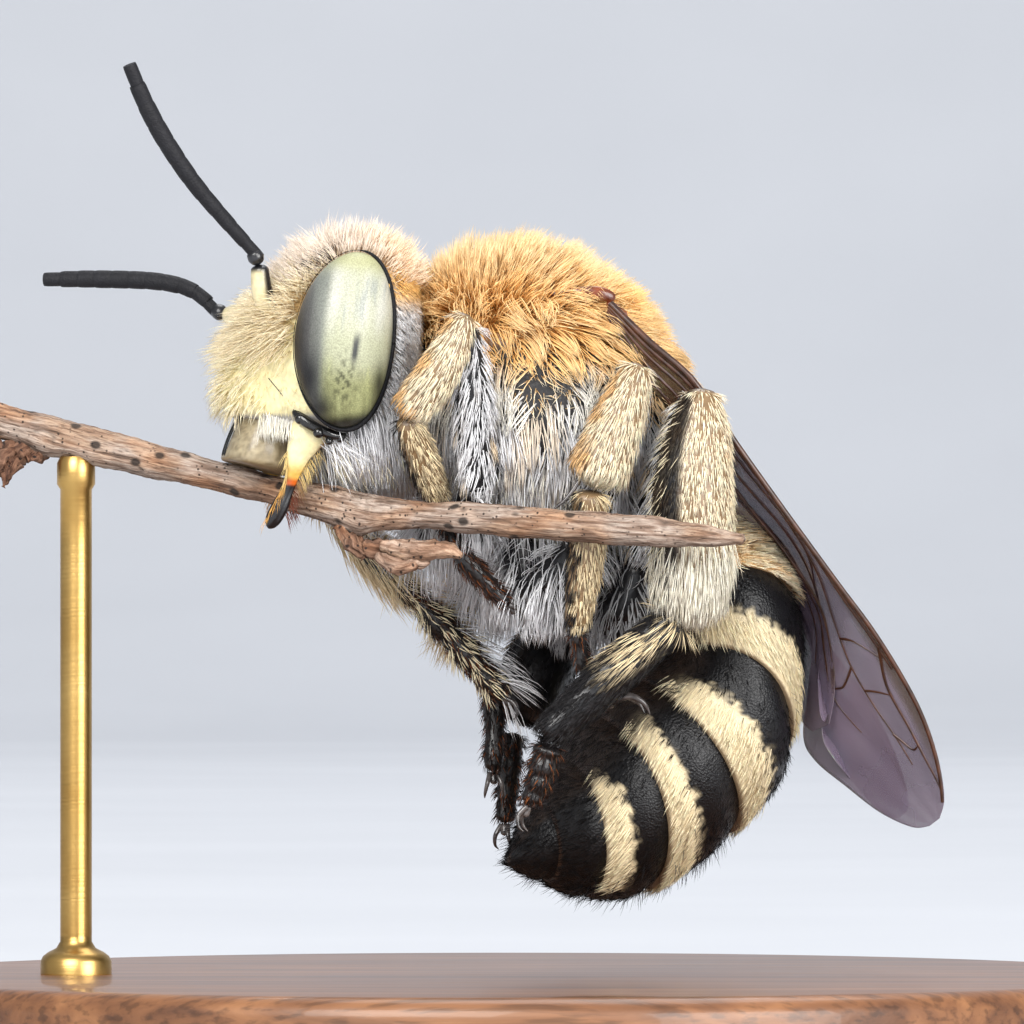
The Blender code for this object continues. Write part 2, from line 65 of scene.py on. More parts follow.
# ---- small maths ----------------------------------------------------------------------------
class Side(Enum):
    """The two sides of the bee, by the sign of Y."""

    LEFT = -1
    RIGHT = 1

    @property
    def label(self) -> str:
        """Lower-case name of the side."""
        return self.name.lower()

    def flip(self, rows: Rows | Array) -> Array:
        """Rows or one point, given for the right, on this side."""
        table = np.array(rows, float)
        table[..., 1] *= self.value
        return table


def srgb(red: float, green: float, blue: float) -> Colour:
    """Linear colour of a display colour.

    Args:
        red: 0 to 255.
        green: 0 to 255.
        blue: 0 to 255.

    Returns:
        Three linear values from 0 to 1.
    """
    parts = [value / 255 for value in (red, green, blue)]
    return tuple(p / 12.92 if p <= 0.04045 else ((p + 0.055) / 1.055) ** 2.4 for p in parts)


def paint(red: float, green: float, blue: float) -> Array:
    """Linear colour of a display colour, as an array."""
    return np.array(srgb(red, green, blue))


def vectors(x: Array | float, y: Array | float, z: Array | float) -> Array:
    """Vectors from three columns, each an array or one number."""
    return np.stack(np.broadcast_arrays(x, y, z), -1).astype(float)


def unit(rows: Array) -> Array:
    """Vectors at length one."""
    return rows / np.maximum(np.linalg.norm(rows, axis=-1, keepdims=True), 1e-9)


def ramp(values: Array, low: float, high: float) -> Array:
    """Smooth step from 0 at low to 1 at high, where low may be the larger."""
    t = np.clip((values - low) / (high - low), 0.0, 1.0)
    return t * t * (3 - 2 * t)


def blend(first: Array, second: Array, share: Array) -> Array:
    """Mix of two colours or colour arrays by a share for each point."""
    return np.asarray(first) * (1 - share[..., None]) + np.asarray(second) * share[..., None]


def spot(power: int, *terms: tuple[Array, float, float]) -> Array:
    """Patch that is 1 at its middle and falls off to 0.

    Args:
        power: 2 for a soft patch, 4 for one with a flat middle.
        terms: Coordinate, middle and reach, for each way that it spreads.

    Returns:
        A share for each point.
    """
    total = 0.0
    for values, middle, reach in terms:
        total = total - ((values - middle) / reach) ** power
    return np.exp(total)


def smooth_rows(rows: Rows, count: int) -> Array:
    """Count rows read evenly along a smooth curve through the given rows.

    Args:
        rows: Numbers for each given place.
        count: How many rows to read.

    Returns:
        An array of count rows.
    """
    table = np.asarray(rows, float)
    last = len(table) - 1
    place = np.linspace(0, last, count)
    index = np.minimum(place.astype(int), last - 1)
    t = (place - index)[:, None]
    before = table[np.maximum(index - 1, 0)]
    start = table[index]
    end = table[index + 1]
    after = table[np.minimum(index + 2, last)]
    return 0.5 * (2 * start + (end - before) * t + (2 * before - 5 * start + 4 * end - after) * t ** 2
                  + (3 * start - before - 3 * end + after) * t ** 3)


def ripple(points: Array, size: float, seed: int) -> Array:
    """Smooth unevenness from -1 to 1 over points.

    Args:
        points: Places, in millimetres.
        size: Rough width of one swell.
        seed: Chooses the pattern.

    Returns:
        One value for each point.
    """
    rng = np.random.default_rng(seed)
    total = np.zeros(points.shape[:-1])
    for _ in range(RIPPLE_WAVES):
        wave = unit(rng.normal(size=3)) * (TURN / size) * rng.uniform(0.6, 1.5)
        total += np.sin(points @ wave + rng.uniform(0, TURN))
    return total / RIPPLE_PEAK


def to_world(points: Array) -> Array:
    """Bee-frame millimetres to world metres."""
    c, s = math.cos(BODY_YAW), math.sin(BODY_YAW)
    x, y, z = points[..., 0], points[..., 1], points[..., 2]
    return vectors(x * c - y * s, x * s + y * c, z) * MM


def show(name: str, data: bpy.types.ID) -> Thing:
    """A new object of the scene."""
    thing = bpy.data.objects.new(name, data)
    bpy.context.scene.collection.objects.link(thing)
    return thing


# ---- surfaces and meshes --------------------------------------------------------------------
class Surface:
    """A closed tube-like skin: rows of points run along it and columns go round it."""

    def __init__(self, points: Array, patch: tuple[float, float, float, float] = (0, 0, 1, 1)) -> None:
        """Work out normals and the direction along the rows.

        Args:
            points: Rows, columns and three coordinates, in millimetres.
            patch: This skin's place on its coat's unwrap: low u, low v, high u, high v.
        """
        self.points = points
        self.patch = patch
        around = np.roll(points, -1, 1) - np.roll(points, 1, 1)
        along = np.gradient(points, axis=0)
        normal = unit(np.cross(along, around))
        centre = points.mean(1, keepdims=True)
        if np.mean(np.sum(normal * (points - centre), -1)) < 0:
            normal = -normal
        self.normals = normal
        self.along = unit(along)
        self.cell = np.linalg.norm(np.cross(along, around), axis=-1) / 2

    def nearest(self, target: Array) -> tuple[Array, Array]:
        """Point and normal closest to a target."""
        gap = np.linalg.norm(self.points - target, axis=-1)
        place = np.unravel_index(np.argmin(gap), gap.shape)
        return self.points[place], self.normals[place]

    def scatter(self, density: Array, rng: np.random.Generator) -> "Roots":
        """Roots spread at random by density.

        Args:
            density: Roots for each square millimetre at each grid point.
            rng: Random source.

        Returns:
            The roots.
        """
        weight = (self.cell * density)[:-1]
        count = int(round(weight.sum()))
        rows, columns = weight.shape
        chosen = rng.choice(rows * columns, size=count, p=weight.ravel() / weight.sum())
        i, j = np.divmod(chosen, columns)
        a, b = rng.random(count), rng.random(count)
        k = (j + 1) % columns

        def read(grid: Array) -> Array:
            """Values of a grid at the chosen places."""
            first = grid[i, j] * (1 - b)[:, None] + grid[i, k] * b[:, None]
            second = grid[i + 1, j] * (1 - b)[:, None] + grid[i + 1, k] * b[:, None]
            return first * (1 - a)[:, None] + second * a[:, None]

        u0, v0, u1, v1 = self.patch
        u = u0 + (u1 - u0) * (0.01 + 0.98 * (j + b) / columns)
        v = v0 + (v1 - v0) * (0.01 + 0.98 * (i + a) / rows)
        share = (i + a) / rows
        return Roots(read(self.points), unit(read(self.normals)), unit(read(self.along)),
                     np.stack([u, v], -1), share)


@dataclass
class Roots:
    """Where hairs start: points, outward normals, direction along the skin and place on its unwrap."""

    points: Array
    normals: Array
    along: Array
    unwrap: Array
    share: Array

    def keep(self, mask: Array) -> "Roots":
        """Only the roots that the mask marks."""
        return Roots(self.points[mask], self.normals[mask], self.along[mask], self.unwrap[mask],
                     self.share[mask])

    def __len__(self) -> int:
        """How many roots there are."""
        return len(self.points)


def ring_grid(centres: Array, across: Array, upward: Array, sides: int, power: float = 2.0) -> Array:
    """Grid of rings, squarer where power is above 2.

    Args:
        centres: Middle of each ring.
        across: Half width vector of each ring.
        upward: Half height vector of each ring.
        sides: Points round each ring.
        power: Superellipse power.

    Returns:
        Rows, columns and coordinates.
    """
    angle = np.linspace(0, TURN, sides, endpoint=False)
    c = np.sign(np.cos(angle)) * np.abs(np.cos(angle)) ** (2 / power)
    s = np.sign(np.sin(angle)) * np.abs(np.sin(angle)) ** (2 / power)
    return centres[:, None] + across[:, None] * c[None, :, None] + upward[:, None] * s[None, :, None]


def tube_grid(rows: Rows, stations: int, sides: int, flatten: float = 1.0, round_start: float = 0.6,
              round_end: float = 0.6, lateral: Sequence[float] = (0, 1, 0)) -> Array:
    """Round-ended tube along rows of x, y, z and radius.

    Args:
        rows: Points of the middle line with a radius each.
        stations: Rings along the tube.
        sides: Points round each ring.
        flatten: Thickness along the lateral direction over the radius.
        round_start: Length of the rounded start over its radius.
        round_end: Length of the rounded end over its radius.
        lateral: Direction that the flattening follows.

    Returns:
        Rows, columns and coordinates.
    """
    line = smooth_rows(rows, stations)
    points, radii = line[:, :3], line[:, 3].copy()
    length = np.concatenate([[0], np.cumsum(np.linalg.norm(np.diff(points, axis=0), axis=1))])
    for distance, cap in ((length, round_start * radii[0]), (length[-1] - length, round_end * radii[-1])):
        if cap > 0:
            near = np.clip(distance / cap, 0, 1)
            radii *= np.sqrt(np.maximum(1 - (1 - near) ** 2, 0.004))
    ahead = unit(np.gradient(points, axis=0))
    side = np.asarray(lateral, float)
    side = unit(side - ahead * (ahead @ side)[:, None])
    upward = np.cross(ahead, side)
    return ring_grid(points, side * (radii * flatten)[:, None], upward * radii[:, None], sides)


@dataclass
class Shape:
    """Points, quads and triangles of a mesh in the making, with a colour for each point."""

    points: list[Array] = field(default_factory=list)
    quads: list[Array] = field(default_factory=list)
    triangles: list[Array] = field(default_factory=list)
    colours: list[Array] = field(default_factory=list)
    total: int = 0

    def add(self, points: Array, quads: Array, triangles: Array, colour: Array) -> None:
        """Append loose geometry with one colour or a colour for each point."""
        self.points.append(points)
        self.quads.append(quads + self.total)
        self.triangles.append(triangles + self.total)
        self.colours.append(np.broadcast_to(np.asarray(colour, float), (len(points), 3)))
        self.total += len(points)

    def add_grid(self, grid: Array, colour: Array) -> "Shape":
        """Append a closed tube grid, with both of its ends closed by a fan.

        Args:
            grid: Rows, columns and coordinates.
            colour: One colour, or one for each grid point.

        Returns:
            This shape.
        """
        rows, columns, _ = grid.shape
        index = np.arange(rows * columns).reshape(rows, columns)
        follow = np.roll(index, -1, 1)
        quads = np.stack([index[:-1], follow[:-1], follow[1:], index[1:]], -1).reshape(-1, 4)
        start, end = rows * columns, rows * columns + 1
        first = np.stack([np.full(columns, start), follow[0], index[0]], -1)
        last = np.stack([np.full(columns, end), index[-1], follow[-1]], -1)
        points = np.concatenate([grid.reshape(-1, 3), grid[0].mean(0)[None], grid[-1].mean(0)[None]])
        triangles = np.concatenate([first, last])
        around = grid[rows // 2, 1] - grid[rows // 2, 0]
        along = grid[rows // 2 + 1, 0] - grid[rows // 2, 0]
        out = grid[rows // 2, 0] - grid[rows // 2].mean(0)
        if np.dot(np.cross(around, along), out) < 0:
            quads = quads[:, ::-1]
            triangles = triangles[:, ::-1]
        tone = np.asarray(colour, float)
        if tone.ndim == 3:
            tone = np.concatenate([tone.reshape(-1, 3), tone[0].mean(0)[None], tone[-1].mean(0)[None]])
        self.add(points, quads, triangles, tone)
        return self

    def build(self, name: str, material: Material, slot: str, nodes: Iterable[str] = (), bee: bool = True,
              unwrap: Array | None = None, grain: Array | None = None) -> Thing:
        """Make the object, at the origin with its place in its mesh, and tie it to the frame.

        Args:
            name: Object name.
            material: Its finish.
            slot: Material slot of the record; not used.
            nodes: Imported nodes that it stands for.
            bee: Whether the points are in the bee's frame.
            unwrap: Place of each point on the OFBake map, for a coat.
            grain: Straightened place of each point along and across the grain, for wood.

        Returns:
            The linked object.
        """
        points = np.concatenate(self.points)
        points = to_world(points) if bee else points * MM
        quads = np.concatenate(self.quads).astype(np.int32)
        triangles = np.concatenate(self.triangles).astype(np.int32)
        mesh = bpy.data.meshes.new(name)
        corners = np.concatenate([quads.ravel(), triangles.ravel()])
        starts = np.concatenate([np.arange(len(quads)) * 4, len(quads) * 4 + np.arange(len(triangles)) * 3])
        mesh.vertices.add(len(points))
        mesh.vertices.foreach_set("co", points.astype(np.float32).ravel())
        mesh.loops.add(len(corners))
        mesh.loops.foreach_set("vertex_index", corners)
        mesh.polygons.add(len(starts))
        mesh.polygons.foreach_set("loop_start", starts.astype(np.int32))
        tone = mesh.attributes.new("tone", "FLOAT_COLOR", "POINT")
        shades = np.concatenate([np.concatenate(self.colours), np.ones((len(points), 1))], 1)
        tone.data.foreach_set("color", shades.astype(np.float32).ravel())
        if grain is not None:
            run = mesh.attributes.new("grain", "FLOAT_VECTOR", "POINT")
            run.data.foreach_set("vector", grain.astype(np.float32).ravel())
        if unwrap is not None:
            layer = mesh.uv_layers.new(name="OFBake")
            layer.uv.foreach_set("vector", unwrap[corners].astype(np.float32).ravel())
        mesh.update(calc_edges=True)
        mesh.validate()
        mesh.shade_smooth()
        mesh.materials.append(material)
        return settle(show(name, mesh), nodes)


def settle(piece: Thing, nodes: Iterable[str] = ()) -> Thing:
    """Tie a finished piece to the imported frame.

    Args:
        piece: The finished object.
        nodes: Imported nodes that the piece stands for.

    Returns:
        The same object.
    """
    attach(piece, "root")
    nodes = tuple(nodes)
    if nodes:
        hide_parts(*nodes)
    replaced = ", ".join(nodes) or "nothing"
    LOG.info("%s: %d faces, replaces %s", piece.name, len(piece.data.polygons), replaced)
    return piece


# ---- hair -----------------------------------------------------------------------------------
TOP_CORNER = 0.5 * math.pi
THIRD_TURN = 2.0944
PATCH = 0.003  # size of one hair's patch on the unwrap


@dataclass
class Strands:
    """Hairs as tapered three-sided solids, gathered for one coat piece."""

    rng: np.random.Generator
    shape: Shape = field(default_factory=Shape)
    unwrap: list[Array] = field(default_factory=list)

    def grow(self, roots: Roots, lie: Array, length: Array, lift: tuple[float, float], width: float,
             base: Array, tip: Array, segments: int = 3, spread: float = 0.25, clump: float = 0.0,
             lock: int = 14, wave: float = 0.0, droop: float = 0.0, sink: float = 0.02) -> None:
        """Add one hair for each root.

        Args:
            roots: Where the hairs start.
            lie: Direction that the hairs are combed in.
            length: Length of each hair, in millimetres.
            lift: Angle off the skin at the root and at the tip, in degrees.
            width: Thickness near the root.
            base: Colour at the root.
            tip: Colour at the tip.
            segments: Straight stretches along a hair.
            spread: How far hairs stray from the lie.
            clump: How far tips gather into locks, 0 to 1.
            lock: Hairs in a lock.
            wave: Sideways waviness over the length.
            droop: Pull toward the ground over the length.
            sink: Depth of the root below the skin.
        """
        count = len(roots)
        if count == 0:
            return
        rng = self.rng
        normal = roots.normals
        lie = np.broadcast_to(np.asarray(lie, float), (count, 3))
        lie = lie + rng.normal(size=(count, 3)) * spread
        lie = unit(lie - normal * np.sum(lie * normal, -1, keepdims=True))
        length = np.broadcast_to(length, (count,)) * rng.uniform(0.75, 1.15, count)
        tilt = np.radians(rng.normal(0, 7, count))
        step = length / segments
        path = [roots.points - normal * sink]
        sway = unit(np.cross(normal, lie))
        phase = rng.uniform(0, TURN, count)
        for k in range(segments):
            t = (k + 0.5) / segments
            angle = np.radians(lift[0] + (lift[1] - lift[0]) * t) + tilt
            ahead = lie * np.cos(angle)[:, None] + normal * np.sin(angle)[:, None]
            ahead = ahead + sway * (wave * np.sin(phase + 5 * t))[:, None]
            ahead = unit(ahead + np.array([0.0, 0.0, -droop * t]))
            path.append(path[-1] + ahead * step[:, None])
        path = np.stack(path, 1)
        if clump > 0:
            path = self._gather(path, clump, lock)
        self._skin(path, normal, width * rng.uniform(0.75, 1.25, count), base, tip, roots.unwrap)

    def _gather(self, path: Array, clump: float, lock: int) -> Array:
        """Draw the tips of neighbouring hairs together into locks.

        Args:
            path: Knots of every hair.
            clump: How far the tips close up, 0 to 1.
            lock: Hairs in a lock.

        Returns:
            The moved knots.
        """
        count = len(path)
        chosen = self.rng.permutation(count)[: max(2, count // lock)]
        tree = KDTree(len(chosen))
        for number, which in enumerate(chosen):
            tree.insert(path[which, 0], number)
        tree.balance()
        member = np.array([tree.find(point)[1] for point in path[:, 0]])
        total = np.zeros((len(chosen), *path.shape[1:]))
        np.add.at(total, member, path)
        size = np.bincount(member, minlength=len(chosen))[:, None, None]
        middle = (total / np.maximum(size, 1))[member]
        share = (np.linspace(0, 1, path.shape[1]) ** 1.3 * clump)[None, :, None]
        share = share * self.rng.uniform(0.55, 1.0, (count, 1, 1))
        return path * (1 - share) + middle * share

    def _skin(self, path: Array, normal: Array, width: Array, base: Array, tip: Array, unwrap: Array) -> None:
        """Wrap each path in a three-sided taper that ends in a point.

        Args:
            path: Knots of every hair.
            normal: Normal of the skin at each root.
            width: Thickness of each hair near its root.
            base: Colour at the root.
            tip: Colour at the tip.
            unwrap: Place of each root on the coat's unwrap.
        """
        count, knots, _ = path.shape
        rings = knots - 1
        ahead = unit(np.gradient(path, axis=1))
        side = unit(np.cross(ahead, normal[:, None]))
        upward = np.cross(ahead, side)
        t = np.linspace(0, 1, knots)
        taper = 0.5 * width[:, None] * (1 - 0.72 * t[None] ** 1.5)
        corners = []
        for angle in (TOP_CORNER, TOP_CORNER + THIRD_TURN, TOP_CORNER - THIRD_TURN):
            offset = side * math.cos(angle) + upward * math.sin(angle) * 0.7
            corners.append(path + offset * taper[..., None])
        body = np.stack(corners, 2)[:, :rings].reshape(count, rings * 3, 3)
        points = np.concatenate([body, path[:, -1:]], 1)
        each = rings * 3 + 1
        quads, triangles = [], [(0, 2, 1)]
        for j in range(3):
            k = (j + 1) % 3
            for ring in range(rings - 1):
                quads.append((ring * 3 + j, ring * 3 + k, ring * 3 + 3 + k, ring * 3 + 3 + j))
            triangles.append(((rings - 1) * 3 + j, (rings - 1) * 3 + k, rings * 3))
        offset = (np.arange(count) * each)[:, None, None]
        quads = (np.array(quads, int).reshape(1, -1, 4) + offset).reshape(-1, 4)
        triangles = (np.array(triangles, int)[None] + offset).reshape(-1, 3)
        place = np.concatenate([np.repeat(t[:rings], 3), [1.0]])
        base = np.broadcast_to(np.asarray(base, float), (count, 3))[:, None]
        tip = np.broadcast_to(np.asarray(tip, float), (count, 3))[:, None]
        shade = self.rng.uniform(0.86, 1.14, (count, 1, 1))
        colour = (base + (tip - base) * place[None, :, None] ** 0.5) * shade
        self.shape.add(points.reshape(-1, 3), quads, triangles, colour.reshape(-1, 3).clip(0, 1))
        middle = PATCH / 2
        across = np.concatenate([np.tile([0.0, middle, PATCH], rings), [middle]])
        patch = np.stack([np.broadcast_to(across, (count, each)),
                          np.broadcast_to(place * PATCH, (count, each))], -1)
        self.unwrap.append((unwrap[:, None] + patch - middle).reshape(-1, 2).clip(0.0, 1.0))

    def build(self, name: str, material: Material, slot: str) -> Thing:
        """Make the coat piece and tie it to the frame."""
        shape = self.shape
        count = sum(len(q) * 2 for q in shape.quads) + sum(len(t) for t in shape.triangles)
        LOG.info("%s has %d triangles", name, count)
        return shape.build(name, material, slot, unwrap=np.concatenate(self.unwrap))


# ---- finishes -------------------------------------------------------------------------------
class Sheet:
    """Shorthand for laying out the nodes of one tree."""

    def __init__(self, tree: bpy.types.NodeTree) -> None:
        """Keep the tree's nodes and links."""
        self.nodes, self.links = tree.nodes, tree.links

    def feed(self, socket: Socket, value: Value) -> None:
        """Join an input to another node's output, or set its fixed value."""
        if isinstance(value, Socket):
            self.links.new(value, socket)
        else:
            socket.default_value = value

    def add(self, kind: str, output: str | int, inputs: dict[str | int, Value], **options: str) -> Socket:
        """Add one node.

        Args:
            kind: Type of the node.
            output: Which of its outputs is wanted.
            inputs: Fixed values or other outputs, by input.
            options: Settings of the node itself.

        Returns:
            The wanted output.
        """
        node = self.nodes.new(kind)
        for key, value in options.items():
            setattr(node, key, value)
        for key, value in inputs.items():
            self.feed(node.inputs[key], value)
        return node.outputs[output]


class NodeSheet(Sheet):
    """Shorthand for laying out one material's nodes."""

    def __init__(self, name: str) -> None:
        """Start a material with a Principled shader."""
        self.material = bpy.data.materials.new(name)
        self.material.use_nodes = True
        super().__init__(self.material.node_tree)
        self.place = self.add("ShaderNodeTexCoord", "Object", {})

    def stretched(self, scale: Sequence[float], place: Socket | None = None) -> Socket:
        """Object coordinates, or another place, scaled along each axis."""
        return self.add("ShaderNodeMapping", "Vector", {"Scale": scale, "Vector": place or self.place})

    def noise(self, scale: float, detail: float = 3.0, place: Socket | None = None,
              distortion: float = 0.0) -> Socket:
        """Noise from 0 to 1; scale is swells for each unit of place, a metre unless one is given."""
        inputs = {"Scale": scale, "Detail": detail, "Distortion": distortion, "Vector": place or self.place}
        return self.add("ShaderNodeTexNoise", "Fac", inputs)

    def cells(self, scale: float, place: Socket | None = None) -> Socket:
        """Distance to the middle of the nearest cell."""
        return self.add("ShaderNodeTexVoronoi", "Distance", {"Scale": scale, "Vector": place or self.place})

    def ramp(self, value: Socket, *stops: tuple[float, float | Colour]) -> Socket:
        """Colour ramp over a value.

        Args:
            value: What the ramp reads.
            stops: Position with a grey level or a colour.

        Returns:
            The colour.
        """
        node = self.nodes.new("ShaderNodeValToRGB")
        elements = node.color_ramp.elements
        while len(elements) < len(stops):
            elements.new(0.5)
        for element, (position, colour) in zip(elements, stops):
            element.position = position
            element.color = (*(colour if isinstance(colour, tuple) else (colour,) * 3), 1.0)
        self.feed(node.inputs["Fac"], value)
        return node.outputs["Color"]

    def stored(self, name: str, output: str) -> Socket:
        """A value that is stored on the mesh."""
        return self.add("ShaderNodeAttribute", output, {}, attribute_name=name)

    def tone(self) -> Socket:
        """The colour that is stored on the mesh."""
        return self.stored("tone", "Color")

    def mix(self, first: Socket, second: Socket, share: float | Socket, blend_type: str = "MIX") -> Socket:
        """Mix of two colours."""
        return self.add("ShaderNodeMix", "Result", {"A": first, "B": second, "Factor": share},
                        data_type="RGBA", blend_type=blend_type)

    def times(self, first: Socket, second: Socket, share: float = 1.0) -> Socket:
        """First colour multiplied by a share of the second."""
        return self.mix(first, second, share, "MULTIPLY")

    def bump(self, height: Socket, depth: float, under: Socket | None = None) -> Socket:
        """Bump of a real depth in metres, over another bump if one is given."""
        inputs = {"Strength": 1.0, "Distance": depth, "Height": height}
        return self.add("ShaderNodeBump", "Normal", inputs if under is None else {**inputs, "Normal": under})

    def range(self, value: Socket, low: float, high: float) -> Socket:
        """A 0 to 1 value moved to low to high."""
        return self.add("ShaderNodeMapRange", "Result", {"To Min": low, "To Max": high, "Value": value})

    def finish(self, colour: Socket, roughness: float | Socket, normal: Socket | None = None,
               **fixed: float) -> Material:
        """Join colour, roughness and bump to the shader and set its fixed values.

        Args:
            colour: Base colour.
            roughness: Roughness, fixed or from a node.
            normal: Bump, if there is any.
            fixed: Other inputs of the shader, with _ for a space.

        Returns:
            The finished material.
        """
        inputs = self.nodes["Principled BSDF"].inputs
        self.feed(inputs["Base Color"], colour)
        self.feed(inputs["Roughness"], roughness)
        if normal is not None:
            self.feed(inputs["Normal"], normal)
        for key, value in fixed.items():
            inputs[key.replace("_", " ")].default_value = value
        return self.material


@dataclass(frozen=True)
class ShellFinish:
    """Chitin whose colour is on the mesh, with fine pits."""

    name: str
    roughness: float = 0.32
    pits: float = 16000.0
    depth: float = 0.000006
    coat: float = 0.15
    shine: float = 0.5

    def make(self) -> Material:
        """Build the material."""
        sheet = NodeSheet(self.name)
        colour = sheet.times(sheet.tone(), sheet.ramp(sheet.noise(9000, 4), (0.3, 0.72), (0.7, 1.0)))
        rough = sheet.range(sheet.noise(14000), self.roughness * 0.75, self.roughness * 1.35)
        under = sheet.bump(sheet.cells(self.pits), self.depth)
        normal = sheet.bump(sheet.noise(60000, 2), self.depth * 0.35, under)
        return sheet.finish(colour, rough, normal, Coat_Weight=self.coat, Coat_Roughness=0.25,
                            Specular_IOR_Level=self.shine)


@dataclass(frozen=True)
class HairFinish:
    """Hair whose colour is on the mesh."""

    name: str
    roughness: float = 0.42
    shine: float = 0.30

    def make(self) -> Material:
        """Build the material."""
        sheet = NodeSheet(self.name)
        rough = sheet.range(sheet.noise(22000), self.roughness * 0.8, self.roughness * 1.25)
        return sheet.finish(sheet.tone(), rough, None, Specular_IOR_Level=self.shine)


@dataclass(frozen=True)
class EyeFinish:
    """Smooth faceted dome, with its colours on the mesh."""

    name: str = "eye_dome"
    facets: float = 42000.0

    def make(self) -> Material:
        """Build the material."""
        sheet = NodeSheet(self.name)
        rows = sheet.cells(self.facets)
        colour = sheet.times(sheet.tone(), sheet.ramp(rows, (0.15, 1.0), (0.75, 0.66)), 0.9)
        normal = sheet.bump(rows, 0.0000025)
        return sheet.finish(colour, 0.46, normal, Coat_Weight=0.10, Coat_Roughness=0.34,
                            Specular_IOR_Level=0.28)


@dataclass(frozen=True)
class WingFinish:
    """Thin smoky membrane with a fine grain."""

    name: str = "wing_membrane"
    alpha: float = 0.72

    def make(self) -> Material:
        """Build the material."""
        sheet = NodeSheet(self.name)
        cloud = sheet.ramp(sheet.noise(420, 3), (0.3, (0.62, 0.60, 0.66)), (0.7, 1.0))
        colour = sheet.times(sheet.tone(), cloud)
        under = sheet.bump(sheet.noise(1500, 2), 0.00003)
        normal = sheet.bump(sheet.cells(26000), 0.000003, under)
        return sheet.finish(colour, 0.22, normal, Alpha=self.alpha, IOR=1.55, Coat_Weight=0.35,
                            Coat_Roughness=0.08, Thin_Film_Thickness=420.0)


@dataclass(frozen=True)
class GlossFinish:
    """Plain dark chitin, polished, as on claws, rims and veins."""

    name: str
    dark: Colour
    light: Colour
    roughness: float = 0.2

    def make(self) -> Material:
        """Build the material."""
        sheet = NodeSheet(self.name)
        colour = sheet.ramp(sheet.noise(5000, 4), (0.35, self.dark), (0.7, self.light))
        rough = sheet.range(sheet.noise(18000), self.roughness * 0.7, self.roughness * 1.5)
        return sheet.finish(colour, rough, sheet.bump(sheet.noise(30000), 0.000002), Coat_Weight=0.3)


@dataclass(frozen=True)
class BarkFinish:
    """Dry weathered bark with long grain, spots, tiny pits of painted shade and a little warm wood."""

    name: str = "dry_bark"

    def make(self) -> Material:
        """Build the material."""
        sheet = NodeSheet(self.name)
        run = sheet.stored("grain", "Vector")
        fibre = sheet.noise(1.0, 5, sheet.stretched((1.5, 17.0, 17.0), run), 0.3)
        fine = sheet.noise(1.0, 4, sheet.stretched((6.0, 60.0, 60.0), run))
        patch = sheet.noise(1.0, 4, sheet.stretched((1.0, 2.6, 2.6), run))
        colour = sheet.ramp(fibre, (0.26, srgb(76, 60, 50)), (0.42, srgb(140, 116, 100)),
                            (0.58, srgb(188, 170, 156)), (0.76, srgb(112, 90, 76)))
        warm = sheet.ramp(patch, (0.45, 1.0), (0.62, (0.98, 0.80, 0.62)), (0.78, (0.60, 0.50, 0.44)))
        colour = sheet.times(colour, warm, 0.8)
        thin = sheet.ramp(fine, (0.30, (0.62, 0.56, 0.52)), (0.50, 1.0))
        colour = sheet.times(colour, thin, 0.8)
        # Near-black dots: painted shade of tiny pits that have no shape of their own.
        pit_shade = sheet.cells(2.6, sheet.stretched((0.8, 1.0, 1.0), run))
        colour = sheet.times(colour, sheet.ramp(pit_shade, (0.13, (0.03, 0.025, 0.025)), (0.22, 1.0)), 0.9)
        dust = sheet.ramp(sheet.cells(11.0, run), (0.14, (0.08, 0.06, 0.05)), (0.26, 1.0))
        dusty = sheet.ramp(sheet.noise(2.2, 2, run), (0.40, 0.0), (0.54, 1.0))
        colour = sheet.mix(colour, sheet.times(colour, dust), dusty)
        # The stored tone carries painted shade: the twig's cracks, low places and underside.
        colour = sheet.times(colour, sheet.tone())
        under = sheet.bump(fibre, 0.00006)
        normal = sheet.bump(fine, 0.00003, under)
        return sheet.finish(colour, 0.80, normal)


@dataclass(frozen=True)
class WoodFinish:
    """Turned and waxed wood with straight grain."""

    name: str = "waxed_wood"

    def make(self) -> Material:
        """Build the material."""
        sheet = NodeSheet(self.name)
        grain = sheet.noise(1.0, 6, sheet.stretched((90, 1500, 1500)), 1.2)
        fine = sheet.noise(1.0, 3, sheet.stretched((600, 9000, 9000)))
        wood = sheet.ramp(grain, (0.3, srgb(92, 58, 36)), (0.5, srgb(122, 80, 50)), (0.7, srgb(146, 100, 64)))
        colour = sheet.times(wood, sheet.ramp(fine, (0.35, 0.6), (0.5, 1.0)))
        rough = sheet.range(fine, 0.32, 0.5)
        return sheet.finish(colour, rough, sheet.bump(fine, 0.000008), Coat_Weight=0.2)


@dataclass(frozen=True)
class BrassFinish:
    """Satin brass rod."""

    name: str = "satin_brass"

    def make(self) -> Material:
        """Build the material."""
        sheet = NodeSheet(self.name)
        turned = sheet.noise(1.0, 2, sheet.stretched((400, 400, 30000)))
        colour = sheet.ramp(sheet.noise(900, 3), (0.3, srgb(178, 140, 78)), (0.7, srgb(206, 170, 104)))
        rough = sheet.range(turned, 0.25, 0.4)
        return sheet.finish(colour, rough, sheet.bump(turned, 0.000003), Metallic=1.0)


@dataclass(frozen=True)
class FloorFinish:
    """Plain pale floor and cove."""

    name: str = "pale_floor"

    def make(self) -> Material:
        """Build the material."""
        sheet = NodeSheet(self.name)
        colour = sheet.ramp(sheet.noise(60, 2), (0.3, (0.60, 0.62, 0.66)), (0.7, (0.63, 0.65, 0.69)))
        return sheet.finish(colour, 0.7)


